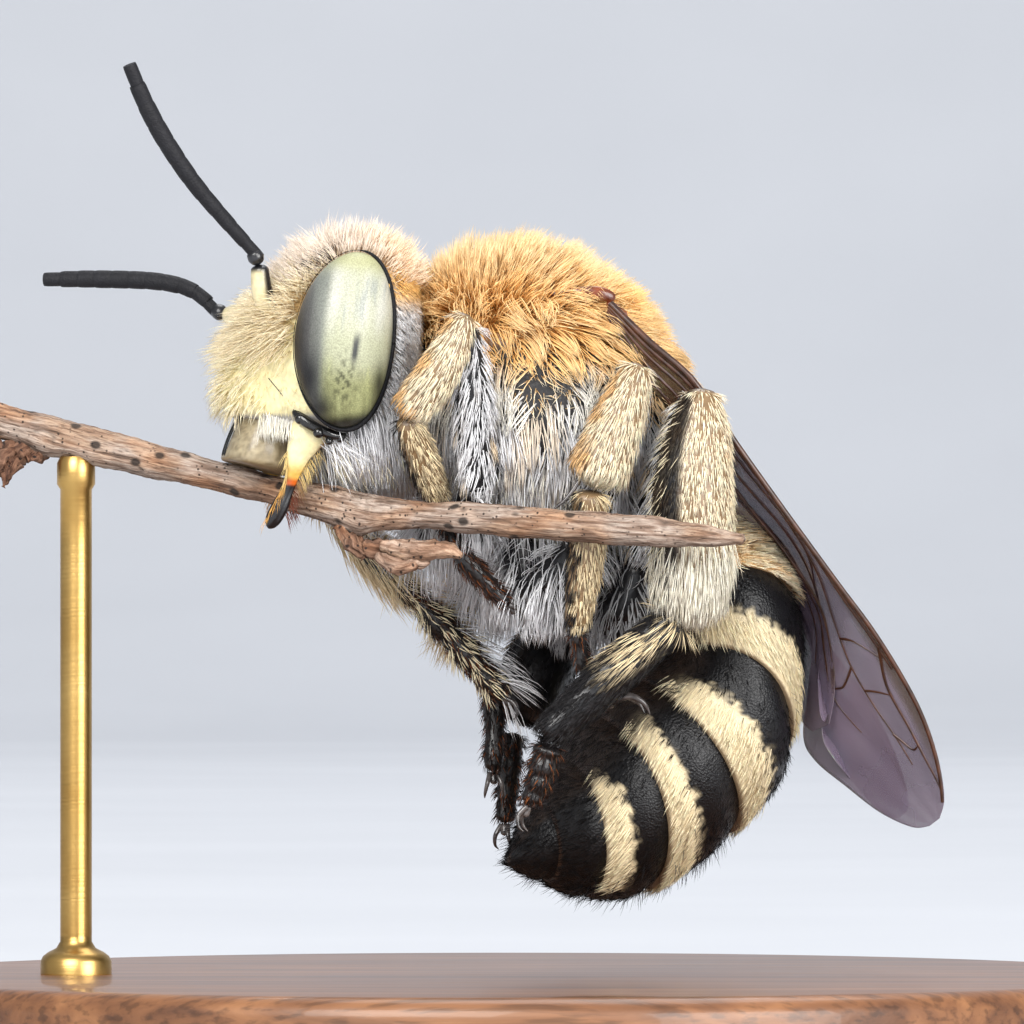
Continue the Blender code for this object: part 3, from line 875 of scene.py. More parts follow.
class Finishes:
    """Every finish of the model, made once."""

    def __init__(self) -> None:
        """Build all materials."""
        self.shell = ShellFinish("body_shell").make()
        self.plates = ShellFinish("abdomen_shell", 0.34, 30000, 0.000009, 0.08, 0.32).make()
        self.wax = ShellFinish("waxy_face", 0.3, 30000, 0.000002, 0.4).make()
        self.matt = ShellFinish("feeler_shell", 0.55, 34000, 0.000006, 0.0, 0.22).make()
        self.hair = HairFinish("hair").make()
        self.dark_hair = HairFinish("black_hair", 0.5, 0.12).make()
        self.claw = GlossFinish("claw_horn", srgb(26, 22, 22), srgb(96, 90, 88), 0.16).make()
        self.eye = EyeFinish().make()
        self.wing = WingFinish().make()
        self.vein = GlossFinish("wing_vein", srgb(46, 26, 18), srgb(84, 50, 34), 0.3).make()
        self.black = GlossFinish("black_polish", (0.004,) * 3, (0.012,) * 3, 0.14).make()
        self.amber = GlossFinish("red_brown_scale", srgb(58, 24, 12), srgb(124, 58, 26), 0.28).make()
        self.bark = BarkFinish().make()
        self.wood = WoodFinish().make()
        self.brass = BrassFinish().make()
        self.floor = FloorFinish().make()


# ---- colours --------------------------------------------------------------------------------
BLACK = paint(20, 20, 24)
FACE_YELLOW = paint(248, 236, 184)
CREAM = paint(255, 240, 204)
BAND_WHITE = paint(252, 246, 228)
TAWNY = paint(246, 208, 146)
TAWNY_TIP = paint(242, 214, 168)
ORANGE = paint(253, 194, 104)
PALE_TIP = paint(255, 246, 220)
SILVER = paint(240, 240, 242)
STRAW = paint(240, 208, 154)
GOLD = paint(236, 180, 98)
SOOT = paint(26, 24, 26)
DOWN = np.array([0.0, 0.0, -1.0])


# ---- head -----------------------------------------------------------------------------------
@dataclass
class Head:
    """Head shell, eyes, lip and jaws with their hair; the feelers are made by Feelers."""

    finishes: Finishes
    skin_rows: Rows = (
        (9.70, -2.66, -2.02, 0.35),
        (9.86, -2.86, -1.90, 0.82),
        (10.16, -3.40, -1.80, 1.24),
        (10.45, -4.06, -1.72, 1.52),
        (10.85, -4.18, -1.66, 1.68),
        (11.40, -4.16, -1.62, 1.76),
        (11.90, -4.00, -1.62, 1.76),
        (12.35, -3.64, -1.68, 1.66),
        (12.70, -3.26, -1.84, 1.44),
        (12.90, -2.92, -2.10, 1.02),
        (12.98, -2.66, -2.36, 0.45),
    )
    clypeus_bulge: float = 0.30
    eye_centre: tuple[float, float, float] = (-3.035, 1.56, 11.59)
    eye_radii: tuple[float, float, float] = (0.735, 0.68, 1.325)
    eye_lean: float = 6.5
    eye_turn: float = 6.0

    def eye_matrix(self, side: Side) -> Array:
        """Rotation of one eye as a 3 by 3 array."""
        lean = Matrix.Rotation(math.radians(self.eye_lean), 3, "Y")
        turn = Matrix.Rotation(math.radians(-side.value * self.eye_turn), 3, "Z")
        return np.array(turn @ lean)

    def set_eye(self, local: Array, side: Side) -> Array:
        """Points of an upright dome, with both ends swung back a little, put in their place."""
        swing = 0.115 * (local[..., 2] / self.eye_radii[2]) ** 2
        bent = local + swing[..., None] * np.array([1.0, 0.0, 0.0])
        return bent @ self.eye_matrix(side).T + side.flip(self.eye_centre)

    def in_eye(self, points: Array, grow: float) -> Array:
        """Which points lie within either eye, grown by a factor."""
        inside = np.zeros(points.shape[:-1], bool)
        for side in Side:
            local = (points - side.flip(self.eye_centre)) @ self.eye_matrix(side)
            inside |= np.sum((local / np.array(self.eye_radii)) ** 2, -1) < grow ** 2
        return inside

    def skin(self) -> Surface:
        """The head's own surface."""
        rows = smooth_rows(self.skin_rows, 110)
        z, front, back, half = rows.T
        centres = vectors((front + back) / 2, 0, z)
        grid = ring_grid(centres, vectors((back - front) / 2, 0, 0), vectors(0, half, 0), 150, 2.15)
        forward, height = ramp(grid[..., 0], -3.2, -3.9), grid[..., 2]
        lobe = spot(4, (grid[..., 1], 0, 0.72)) * ramp(height, 10.2, 10.5) * ramp(height, 11.75, 10.9)
        grid[..., 0] -= self.clypeus_bulge * forward * lobe
        return Surface(grid)

    def skin_colour(self, points: Array) -> Array:
        """Yellow lower face on a grey and brown head.

        Args:
            points: Points of the head's skin.

        Returns:
            A colour for each point.
        """
        x, y, z = points[..., 0], np.abs(points[..., 1]), points[..., 2]
        low = ramp(z, 10.42, 10.50)
        face = ramp(x, -3.30, -3.42) * ramp(z, 11.85, 11.62) * low
        face = face * ramp(z - 0.45 * y, 11.60, 11.20)
        cheek = ramp(x, -3.5, -3.6) * ramp(y, 1.05, 1.15) * ramp(z, 12.0, 11.8) * low
        base = blend(paint(182, 178, 172), paint(168, 132, 92), ramp(z, 12.15, 12.5))
        side = ramp(x, -3.3, -3.5) * ramp(z, 11.3, 11.6) * ramp(y, 1.6, 1.4)
        return blend(blend(base, paint(190, 158, 108), side), FACE_YELLOW, np.maximum(face, cheek))

    def build_eyes(self) -> None:
        """Both domes, and the black rim round each."""
        a, b, c = self.eye_radii
        for side in Side:
            lift = np.linspace(-0.5 * math.pi + 0.02, 0.5 * math.pi - 0.02, 100)
            local = ring_grid(vectors(0, 0, c * np.sin(lift)), vectors(a * np.cos(lift), 0, 0),
                              vectors(0, b * np.cos(lift), 0), 110)
            colour = self.eye_colour(local / np.array(self.eye_radii))
            dome = Shape().add_grid(self.set_eye(local, side), colour)
            dome.build("eye_dome_" + side.label, self.finishes.eye, "eye", ["eye_" + side.label])
            turn = np.linspace(0, TURN, 90)
            depth = side.value * (0.02 + 0.19 * np.cos(turn))
            reach = np.sqrt(1 - (depth / b) ** 2) + 0.022
            front, below = np.maximum(0, np.cos(turn)) ** 0.5, np.maximum(0, -np.sin(turn)) ** 2
            thick = 0.005 + 0.038 * front + 0.022 * below
            loop = self.set_eye(vectors(a * np.cos(turn) * reach, depth, c * np.sin(turn) * reach), side)
            rim = tube_grid(np.column_stack([loop, thick]), 180, 10, round_start=0, round_end=0)
            rim = Shape().add_grid(rim, BLACK)
            rim.build("eye_rim_" + side.label, self.finishes.matt, "dark_shell")

    def eye_colour(self, unitary: Array) -> Array:
        """Grey green, pale streaks of painted reflection, a front edge of painted shade, a false pupil.

        Args:
            unitary: Points of the dome over its radii.

        Returns:
            A colour for each point.
        """
        a, c = 0.97 * unitary[..., 0] + 0.24 * np.abs(unitary[..., 1]), unitary[..., 2]
        flat = vectors(a, 0, c)
        streak = ripple(flat * np.array([1.0, 0.0, 0.16]), 0.34, 5)
        fine = ripple(flat * np.array([1.0, 0.0, 0.12]), 0.13, 6)
        mottle = ripple(flat * np.array([1.0, 0.0, 0.6]), 0.09, 9)
        edge = a + 0.24 * c + 0.05 * fine
        rim = a + 0.26 * c + 0.04 * fine
        slanted = a - 0.19 - 0.10 * (c + 0.12)
        colour = np.broadcast_to(paint(176, 178, 150), unitary.shape)
        for shade, share in (
            # Pale streaked patch high in the middle: a painted reflection of the light.
            ((202, 202, 190), (0.6 + 0.4 * streak) * ramp(c, -0.10, 0.40) * ramp(c, 0.95, 0.72)),
            ((148, 154, 152), ramp(fine, 0.1, 0.9) * ramp(c, -0.1, 0.35) * ramp(c, 0.8, 0.6) * 0.6),
            ((176, 176, 130), ramp(c, 0.66, 0.95) * 0.9),
            ((140, 142, 96), ramp(c, -0.16, -0.58) * 0.9),
            ((180, 184, 132), ramp(fine, 0.0, 0.8) * ramp(c, -0.15, -0.45) * 0.55),
            # These three darken the front edge step by step: painted shade.
            ((122, 126, 122), ramp(a + 0.06 * streak, -0.26, -0.66) * ramp(c, 0.95, 0.6) * 0.85),
            ((84, 82, 82), ramp(edge, -0.48, -0.86) * ramp(c, 0.92, 0.5) * 0.9),
            ((44, 43, 43), ramp(rim, -0.74, -1.0) * ramp(c, 0.7, 0.35) * 0.95),
            ((20, 20, 24), spot(2, (a, -0.72, 0.26), (c, -0.50, 0.30)) * 0.95),
            ((26, 26, 28), spot(2, (a, -0.46, 0.26), (c, -0.82, 0.16)) * 0.92),
            ((52, 52, 34), ramp(mottle, 0.05, 0.55) * spot(2, (a, 0.0, 0.27), (c, -0.50, 0.28)) * 0.9),
            ((44, 44, 36), spot(2, (a, 0.76, 0.13), (c, -0.46, 0.20)) * 0.85),
            ((84, 90, 80), ramp(a, 0.84, 1.0) * 0.7),
            ((20, 20, 22), ramp(c - 0.12 * a, -0.82, -0.95) * 0.95),
            ((34, 38, 46), spot(4, (slanted, 0, 0.072), (c, -0.12, 0.165)) * 0.95),
        ):
            colour = blend(colour, paint(*shade), np.clip(share, 0, 1))
        return colour

    def build_trim(self, skin: Surface) -> None:
        """Dark margin of the clypeus, its sutures and the simple eyes on the crown.

        Args:
            skin: The head's surface.
        """
        margin = ((-3.52, 0.98, 10.40, 0.03), (-3.92, 0.80, 10.48, 0.035), (-4.20, 0.46, 10.50, 0.045),
                  (-4.27, 0.20, 10.46, 0.05), (-4.27, -0.04, 10.36, 0.05), (-4.37, -0.06, 10.16, 0.045),
                  (-4.45, -0.06, 9.96, 0.04), (-4.49, -0.06, 9.84, 0.03))
        edge = ((-3.70, 1.16, 10.54, 0.05), (-3.60, 1.27, 10.40, 0.085), (-3.38, 1.36, 10.25, 0.08),
                (-3.14, 1.40, 10.15, 0.075), (-2.94, 1.38, 10.14, 0.045))
        knobs = ((-3.62, 1.26, 10.40, 0.09), (-3.38, 1.40, 10.19, 0.085), (-3.22, 1.42, 10.06, 0.06),
                 (-3.04, 1.40, 10.10, 0.065))
        trim = Shape()
        for side in Side:
            trim.add_grid(tube_grid(side.flip(margin), 40, 8), BLACK)
            seam = []
            for place in ((-4.06, 0.98, 11.02), (-3.88, 1.12, 10.78), (-3.68, 1.22, 10.56)):
                point, normal = skin.nearest(side.flip(place))
                seam.append((*(point - normal * 0.003), 0.010))
            trim.add_grid(tube_grid(seam, 50, 6), paint(60, 44, 26))
            trim.add_grid(tube_grid(side.flip(edge), 40, 14, round_start=1.0, round_end=1.0), BLACK)
            for x, y, z, r in side.flip(knobs):
                trim.add_grid(tube_grid(((x - r, y, z, r), (x + r, y, z, r)), 14, 16, 1.0, 1.0, 1.0), BLACK)
        for x, y, z in ((-3.18, 0.0, 12.86), (-2.92, 0.24, 12.95), (-2.92, -0.24, 12.95)):
            bead = tube_grid(((x, y, z - 0.08, 0.09), (x, y, z + 0.08, 0.09)), 14, 16, 1.0, 1.0, 1.0)
            trim.add_grid(bead, paint(60, 36, 20))
        trim.build("face_trim", self.finishes.black, "dark_shell")

    def build_lip(self) -> None:
        """Broad upper lip with fine striae under the face."""
        rows = smooth_rows((
            (-4.06, 10.52, -3.62, 10.46, 0.36), (-4.24, 10.42, -3.54, 10.36, 0.54),
            (-4.35, 10.22, -3.50, 10.12, 0.62), (-4.44, 10.02, -3.48, 9.86, 0.64),
            (-4.49, 9.88, -3.48, 9.68, 0.62), (-4.50, 9.80, -3.50, 9.58, 0.55),
            (-4.44, 9.765, -3.56, 9.545, 0.40), (-4.20, 9.74, -3.80, 9.58, 0.15),
        ), 50)
        front, back = vectors(rows[:, 0], 0, rows[:, 1]), vectors(rows[:, 2], 0, rows[:, 3])
        grid = ring_grid((front + back) / 2, (back - front) / 2, vectors(0, rows[:, 4], 0), 70, 2.5)
        stria = ripple(grid * np.array([1.0, 1.0, 0.08]), 0.035, 21)
        colour = blend(paint(172, 158, 128), paint(138, 124, 96), ramp(stria, -0.2, 0.9))
        low = ramp(grid[..., 2] + 0.22 * (grid[..., 0] + 4.4), 9.90, 9.72)
        lip = Shape().add_grid(grid, blend(colour, paint(112, 92, 62), low))
        lip.build("lip_plate", self.finishes.wax, "pale_face", ["labrum"])

    def jaw_rows(self, side: Side) -> Array:
        """Middle line of a jaw with its half width.

        Args:
            side: Which jaw; the right one is drawn in under the twig.

        Returns:
            Rows of x, y, z and radius.
        """
        rows = np.array([
            (-3.36, 1.00, 10.29, 0.27), (-3.43, 1.00, 10.17, 0.30), (-3.50, 0.97, 10.03, 0.25),
            (-3.56, 0.93, 9.88, 0.195), (-3.60, 0.88, 9.70, 0.14), (-3.63, 0.82, 9.54, 0.10),
            (-3.66, 0.78, 9.42, 0.088), (-3.71, 0.74, 9.29, 0.10), (-3.80, 0.70, 9.08, 0.13),
            (-3.89, 0.64, 8.88, 0.12), (-3.95, 0.60, 8.75, 0.05),
        ])
        if side is Side.RIGHT:
            rows[:, 0] += 0.42 * ramp(rows[:, 2], 9.8, 8.9)
            rows[:, 2] += 0.22 * ramp(rows[:, 2], 9.3, 8.7)
        return side.flip(rows)

    def build_jaws(self) -> None:
        """Both jaws: waxy yellow, orange, then a black toothed tip."""
        for side in Side:
            rows = self.jaw_rows(side)
            grid = tube_grid(rows, 90, 36, flatten=0.62, round_start=0.35, round_end=1.2)
            behind = grid[..., 0] - grid[..., 0].mean(1, keepdims=True)
            groove = spot(2, (behind, 0.03, 0.02))
            grid[..., 1] -= side.value * 0.012 * groove * ramp(grid[..., 2], 9.5, 9.3)
            z = grid[..., 2] + 0.10 * (grid[..., 0] + 3.6)
            colour = blend(FACE_YELLOW, paint(226, 186, 92), ramp(z, 9.85, 9.55))
            colour = blend(colour, paint(200, 92, 18), ramp(z, 9.54, 9.45))
            colour = blend(colour, BLACK * 0.7, ramp(z, 9.43, 9.37))
            edge = ramp(behind, 0.17, 0.22) * ramp(z, 10.3, 10.0)
            jaw = Shape().add_grid(grid, blend(colour, paint(150, 84, 30), edge * 0.8))
            jaw.build("jaw_" + side.label, self.finishes.wax, "pale_face", ["mandible_" + side.label])

    def build_coat(self, skin: Surface) -> None:
        """Hair of the crown, face, cheeks and beard.

        Args:
            skin: The head's surface.
        """
        clear = ~self.in_eye(skin.points, 1.03)
        self.grow_face(skin, clear)
        self.grow_cheeks(skin, clear)

    def grow_face(self, skin: Surface, clear: Array) -> None:
        """Crown, brow, chin and sides of the face.

        Args:
            skin: The head's surface.
            clear: Which grid points lie clear of the eyes.
        """
        rng = np.random.default_rng(11)
        x, y, z = skin.points[..., 0], np.abs(skin.points[..., 1]), skin.points[..., 2]
        socket = 1 - 0.85 * spot(2, (x, -3.95, 0.30), (y, 0.54, 0.22), (z, 12.36, 0.34))
        soft = Strands(rng)
        front = ramp(skin.normals[..., 0], 0.15, -0.35)
        crown = clear * ramp(z, 12.25, 12.65) * socket
        roots = skin.scatter(crown * 600.0, rng)
        p = roots.points
        warm = ramp(p[:, 0], -2.7, -2.1)
        length = 0.34 + 0.14 * ramp(np.abs(p[:, 1]), 1.2, 0.4) - 0.08 * ramp(p[:, 0], -2.9, -3.3)
        length = length * (1 + 0.22 * ripple(p, 0.35, 17))
        colour = blend(paint(236, 218, 196), ORANGE, warm * 0.45)
        lie = vectors(np.where(p[:, 0] < -2.9, -0.7, 0.3), p[:, 1] * 0.3, 0.4)
        soft.grow(roots, lie, length * 1.12, (74, 56), 0.018, colour * 0.88,
                  blend(colour, paint(246, 232, 218), 0.75 - 0.3 * warm), segments=3, spread=0.35,
                  clump=0.6, lock=10, wave=0.12)
        brow = clear * front * ramp(z, 11.20, 11.60) * ramp(z, 12.75, 12.45) * ramp(y, 1.55, 1.30) * socket
        roots = skin.scatter(brow * 560.0, rng)
        p = roots.points
        lie = vectors(-0.5, p[:, 1] * 0.35, -0.35 + 0.9 * (p[:, 2] - 11.7))
        length = (0.64 - 0.24 * ramp(p[:, 2], 11.9, 12.5)) * (1 + 0.15 * ripple(p, 0.4, 18))
        soft.grow(roots, lie, length, (58, 36), 0.018, paint(240, 216, 168), paint(252, 238, 208),
                  segments=4, spread=0.30, clump=0.55, lock=9, wave=0.16)
        chin = clear * front * ramp(z, 10.45, 10.55) * ramp(z, 11.6, 11.3) * ramp(y, 0.85, 0.55)
        roots = skin.scatter(chin * 300.0, rng)
        p = roots.points
        lie = vectors(-0.3, p[:, 1] * 0.4, -0.9)
        soft.grow(roots, lie, 0.40, (58, 34), 0.020, paint(250, 234, 184), paint(252, 240, 212), segments=3,
                  spread=0.3, clump=0.5, lock=9, wave=0.14)
        side = clear * front * ramp(y, 0.60, 0.75) * ramp(z, 10.45, 10.55) * ramp(z, 11.7, 11.4)
        roots = skin.scatter(side * 90.0, rng)
        soft.grow(roots, (-0.2, 0.0, -1.0), 0.20, (30, 12), 0.012, paint(232, 204, 130),
                  paint(255, 244, 200), segments=2, spread=0.4)
        dark = clear * ramp(z, 12.5, 12.62) * ramp(z, 12.98, 12.85) * ramp(y, 1.15, 1.0) * ramp(y, 0.6, 0.75)
        dark = dark * ramp(x, -2.85, -3.0)
        roots = skin.scatter(dark * 170.0, rng)
        soft.grow(roots, (-1.0, 0.0, 0.3), 0.42, (60, 45), 0.018, SOOT * 0.6, SOOT, segments=3, spread=0.3,
                  clump=0.5)
        soft.build("coat_face", self.finishes.hair, "coat")

    def grow_cheeks(self, skin: Surface, clear: Array) -> None:
        """Pale flat hair behind the eyes and the long beard under the head.

        Args:
            skin: The head's surface.
            clear: Which grid points lie clear of the eyes.
        """
        x, y, z = skin.points[..., 0], np.abs(skin.points[..., 1]), skin.points[..., 2]
        cheek = Strands(np.random.default_rng(12))
        rear = ramp(x, -3.05, -2.85) * clear
        patchy = 0.72 + 0.28 * ramp(ripple(skin.points * np.array([1, 1, 0.7]), 0.22, 15), -0.4, 0.2)
        rear = rear * patchy * ramp(z, 10.5, 10.7) * ramp(z, 12.75, 12.55)
        roots = skin.scatter(rear * 820.0, cheek.rng)
        p = roots.points
        warm = ramp(p[:, 2], 12.0, 12.4)
        tone = blend(SILVER, paint(244, 196, 122), warm)
        sway = 0.35 * ripple(p, 0.5, 16)
        cheek.grow(roots, vectors(0.55 + sway, 0, -1.0), 0.26, (44, 24), 0.023, tone * 1.02, tone * 1.06,
                   segments=2, spread=0.25, clump=0.35, lock=5, wave=0.2)
        beard = clear * ramp(z, 10.75, 10.45) * ramp(x, -3.15, -2.95)
        roots = skin.scatter(beard * 520.0, cheek.rng)
        p = roots.points
        far = ramp(p[:, 1], -0.9, -0.2) * ramp(p[:, 2], 10.5, 10.1)
        length = 0.50 + 0.36 * ramp(p[:, 2], 10.7, 10.3) + 0.45 * far
        cheek.grow(roots, vectors(0.25 - 0.45 * far, 0, -1.0), length, (40, 20), 0.022, SILVER * 0.52,
                   SILVER * 0.98, segments=4, spread=0.18, clump=0.75, lock=12, wave=0.12, droop=0.6)
        under = clear * ramp(z, 10.5, 10.35) * ramp(x, -3.3, -3.05) * ramp(y, 1.35, 1.2)
        roots = skin.scatter(under * 120.0, cheek.rng)
        cheek.grow(roots, (0.5, 0.0, -1.0), 0.80, (50, 30), 0.018, SILVER * 0.85, CREAM, segments=4,
                   spread=0.35, clump=0.3, lock=8, wave=0.15, droop=0.3)
        for side in Side:
            count = 46
            start = side.flip((-3.14, 1.22, 10.16)) + cheek.rng.normal(size=(count, 3)) * 0.10
            roots = self.loose(start, side.flip((0.2, 0.9, -0.2)))
            fan = np.linspace(0.1, 1.5, count)
            cheek.grow(roots, vectors(fan, 0, -1.0 + 0.25 * fan), 0.78, (34, 8), 0.013, SILVER * 0.9,
                       SILVER * 1.05, segments=5, spread=0.15, clump=0.0, lock=8, wave=0.1, droop=0.25)
        cheek.build("coat_cheek_beard", self.finishes.hair, "coat")

    def build_fringes(self) -> None:
        """White fringe over the lip and golden fringes on both edges of each jaw."""
        rng = np.random.default_rng(13)
        fringe = Strands(rng)
        for side in Side:
            rows = smooth_rows(((-3.60, 0.94, 10.44), (-3.92, 0.80, 10.48), (-4.08, 0.62, 10.46)), 210)
            rows = rows + rng.normal(size=rows.shape) * 0.035
            roots = self.loose(side.flip(rows), side.flip((-0.45, 0.9, 0.1)))
            fringe.grow(roots, (0.12, 0.0, -1.0), 0.46, (26, 8), 0.017, SILVER * 0.9, BAND_WHITE,
                        segments=4, spread=0.18, clump=0.5, lock=8, wave=0.1)
            jaw = smooth_rows(self.jaw_rows(side), 120)
            for edge, first, last, count, lie, length in (
                (-1, 30, 104, 60, (-0.55, 0.2, -1.0), 0.34),
                (1, 26, 100, 90, (0.30, 0.15, -1.0), 0.36),
            ):
                pick = rng.integers(first, last, count)
                points = jaw[pick, :3] + np.array([edge, 0, 0]) * (jaw[pick, 3] * 0.92)[:, None]
                roots = self.loose(points, side.flip((edge, 0.4, 0.0)))
                deep = GOLD if edge < 0 else paint(112, 50, 26)
                gold = blend(paint(250, 222, 150), deep, ramp(points[:, 2], 9.7, 9.35))
                fringe.grow(roots, side.flip(lie), length, (34, 10), 0.016, gold * 0.7, gold, segments=3,
                            spread=0.12)
        fringe.build("coat_jaw_fringe", self.finishes.hair, "coat")

    @staticmethod
    def loose(points: Array, outward: Array) -> Roots:
        """Roots that are given along an edge.

        Args:
            points: Where the hairs start.
            outward: Direction that stands for every root's normal.

        Returns:
            The roots.
        """
        share = np.linspace(0.02, 0.98, len(points))
        normals = unit(np.tile(outward, (len(points), 1)))
        return Roots(points, normals, np.tile([1.0, 0, 0], (len(points), 1)),
                     np.stack([share, np.full(len(points), 0.5)], -1), share)


# ---- feelers --------------------------------------------------------------------------------
class LineTree(Sheet):
    """Geometry Nodes that turn a carrier of plain lines into solid mesh."""

    def __init__(self, name: str, sizes: dict[str, float]) -> None:
        """Start the tree with its named inputs.

        Args:
            name: Name of the node group.
            sizes: Default of each input; a whole number makes an input for whole numbers.
        """
        self.tree = bpy.data.node_groups.new(name, "GeometryNodeTree")
        super().__init__(self.tree)
        face = self.tree.interface
        face.new_socket("Lines", in_out="INPUT", socket_type="NodeSocketGeometry")
        for label, value in sizes.items():
            kind = "NodeSocketInt" if isinstance(value, int) else "NodeSocketFloat"
            face.new_socket(label, in_out="INPUT", socket_type=kind).default_value = value
        face.new_socket("Solid", in_out="OUTPUT", socket_type="NodeSocketGeometry")
        self.given = self.nodes.new("NodeGroupInput").outputs
        self.curve = self.add("GeometryNodeMeshToCurve", "Curve", {"Mesh": self.given["Lines"]})
        self.thickness = self.add("GeometryNodeInputNamedAttribute", "Attribute", {"Name": "thickness"},
                                  data_type="FLOAT")

    def close(self, mesh: Socket, material: Material) -> None:
        """Realize the instances, set the finish and end the tree."""
        real = self.add("GeometryNodeRealizeInstances", "Geometry", {"Geometry": mesh})
        done = self.add("GeometryNodeSetMaterial", "Geometry", {"Geometry": real, "Material": material})
        self.feed(self.nodes.new("NodeGroupOutput").inputs["Solid"], done)

    def run(self, name: str, lines: Sequence[tuple[Array, Array]], values: dict[str, float]) -> Thing:
        """Run the tree over lines and keep the result as a plain mesh object.

        Args:
            name: Object name.
            lines: World points and relative thickness of each line.
            values: Tree inputs by their names.

        Returns:
            The linked object.
        """
        points, edges, sizes = [], [], []
        for line, thickness in lines:
            first = len(points)
            points += line.tolist()
            edges += [(first + i, first + i + 1) for i in range(len(line) - 1)]
            sizes += thickness.tolist()
        mesh = bpy.data.meshes.new(name + "_lines")
        mesh.from_pydata(points, edges, [])
        mesh.attributes.new("thickness", "FLOAT", "POINT").data.foreach_set("value", sizes)
        carrier = show(name + "_lines", mesh)
        modifier = carrier.modifiers.new("tree", "NODES")
        modifier.node_group = self.tree
        for item in self.tree.interface.items_tree:
            if item.name in values:
                modifier[item.identifier] = values[item.name]
        depsgraph = bpy.context.evaluated_depsgraph_get()
        solid = bpy.data.meshes.new_from_object(carrier.evaluated_get(depsgraph), depsgraph=depsgraph)
        bpy.data.objects.remove(carrier, do_unlink=True)
        solid.shade_smooth()
        return show(name, solid)


class RingTree(LineTree):
    """Geometry Nodes that repeat one turned ring along a path."""

    def __init__(self, name: str, material: Material) -> None:
        """Lay out the tree once.

        Args:
            name: Name of the node group.
            material: Finish of the rings.
        """
        super().__init__(name, {"Ring Radius": 0.00013, "Ring Length": 0.0003, "Ring Count": 11})
        given = self.given
        places = self.add("GeometryNodeResampleCurve", "Curve",
                          {"Curve": self.curve, "Count": given["Ring Count"]})
        ring = self.add("GeometryNodeMeshCylinder", "Mesh", {
            "Vertices": 28, "Side Segments": 9, "Fill Segments": 3,
            "Radius": given["Ring Radius"], "Depth": given["Ring Length"]})
        tangent = self.add("GeometryNodeInputTangent", "Tangent", {})
        turn = self.add("FunctionNodeAlignRotationToVector", "Rotation", {"Vector": tangent}, axis="Z")
        rings = self.add("GeometryNodeInstanceOnPoints", "Instances", {
            "Points": places, "Instance": self.waisted(ring), "Rotation": turn,
            "Scale": self.widened(self.thickness)})
        self.close(rings, material)

    def widened(self, share: Socket) -> Socket:
        """Scale by a share across the ring, and by 1 along it."""
        return self.add("ShaderNodeCombineXYZ", "Vector", {"X": share, "Y": share, "Z": 1.0})

    def waisted(self, mesh: Socket) -> Socket:
        """Narrow both ends of the ring a little, so that each joint shows.

        Args:
            mesh: The plain ring.

        Returns:
            The ring with narrow ends.
        """
        position = self.add("GeometryNodeInputPosition", "Position", {})
        share = self.add("ShaderNodeSeparateXYZ", "Z", {"Vector": position})
        for operation, others in (("DIVIDE", {1: self.given["Ring Length"]}), ("ABSOLUTE", {}),
                                  ("POWER", {1: 5.0}), ("MULTIPLY_ADD", {1: -2.0, 2: 1.0})):
            share = self.add("ShaderNodeMath", 0, {0: share, **others}, operation=operation)
        moved = self.add("ShaderNodeVectorMath", 0, {0: position, 1: self.widened(share)},
                         operation="MULTIPLY")
        return self.add("GeometryNodeSetPosition", "Geometry", {"Geometry": mesh, "Position": moved})


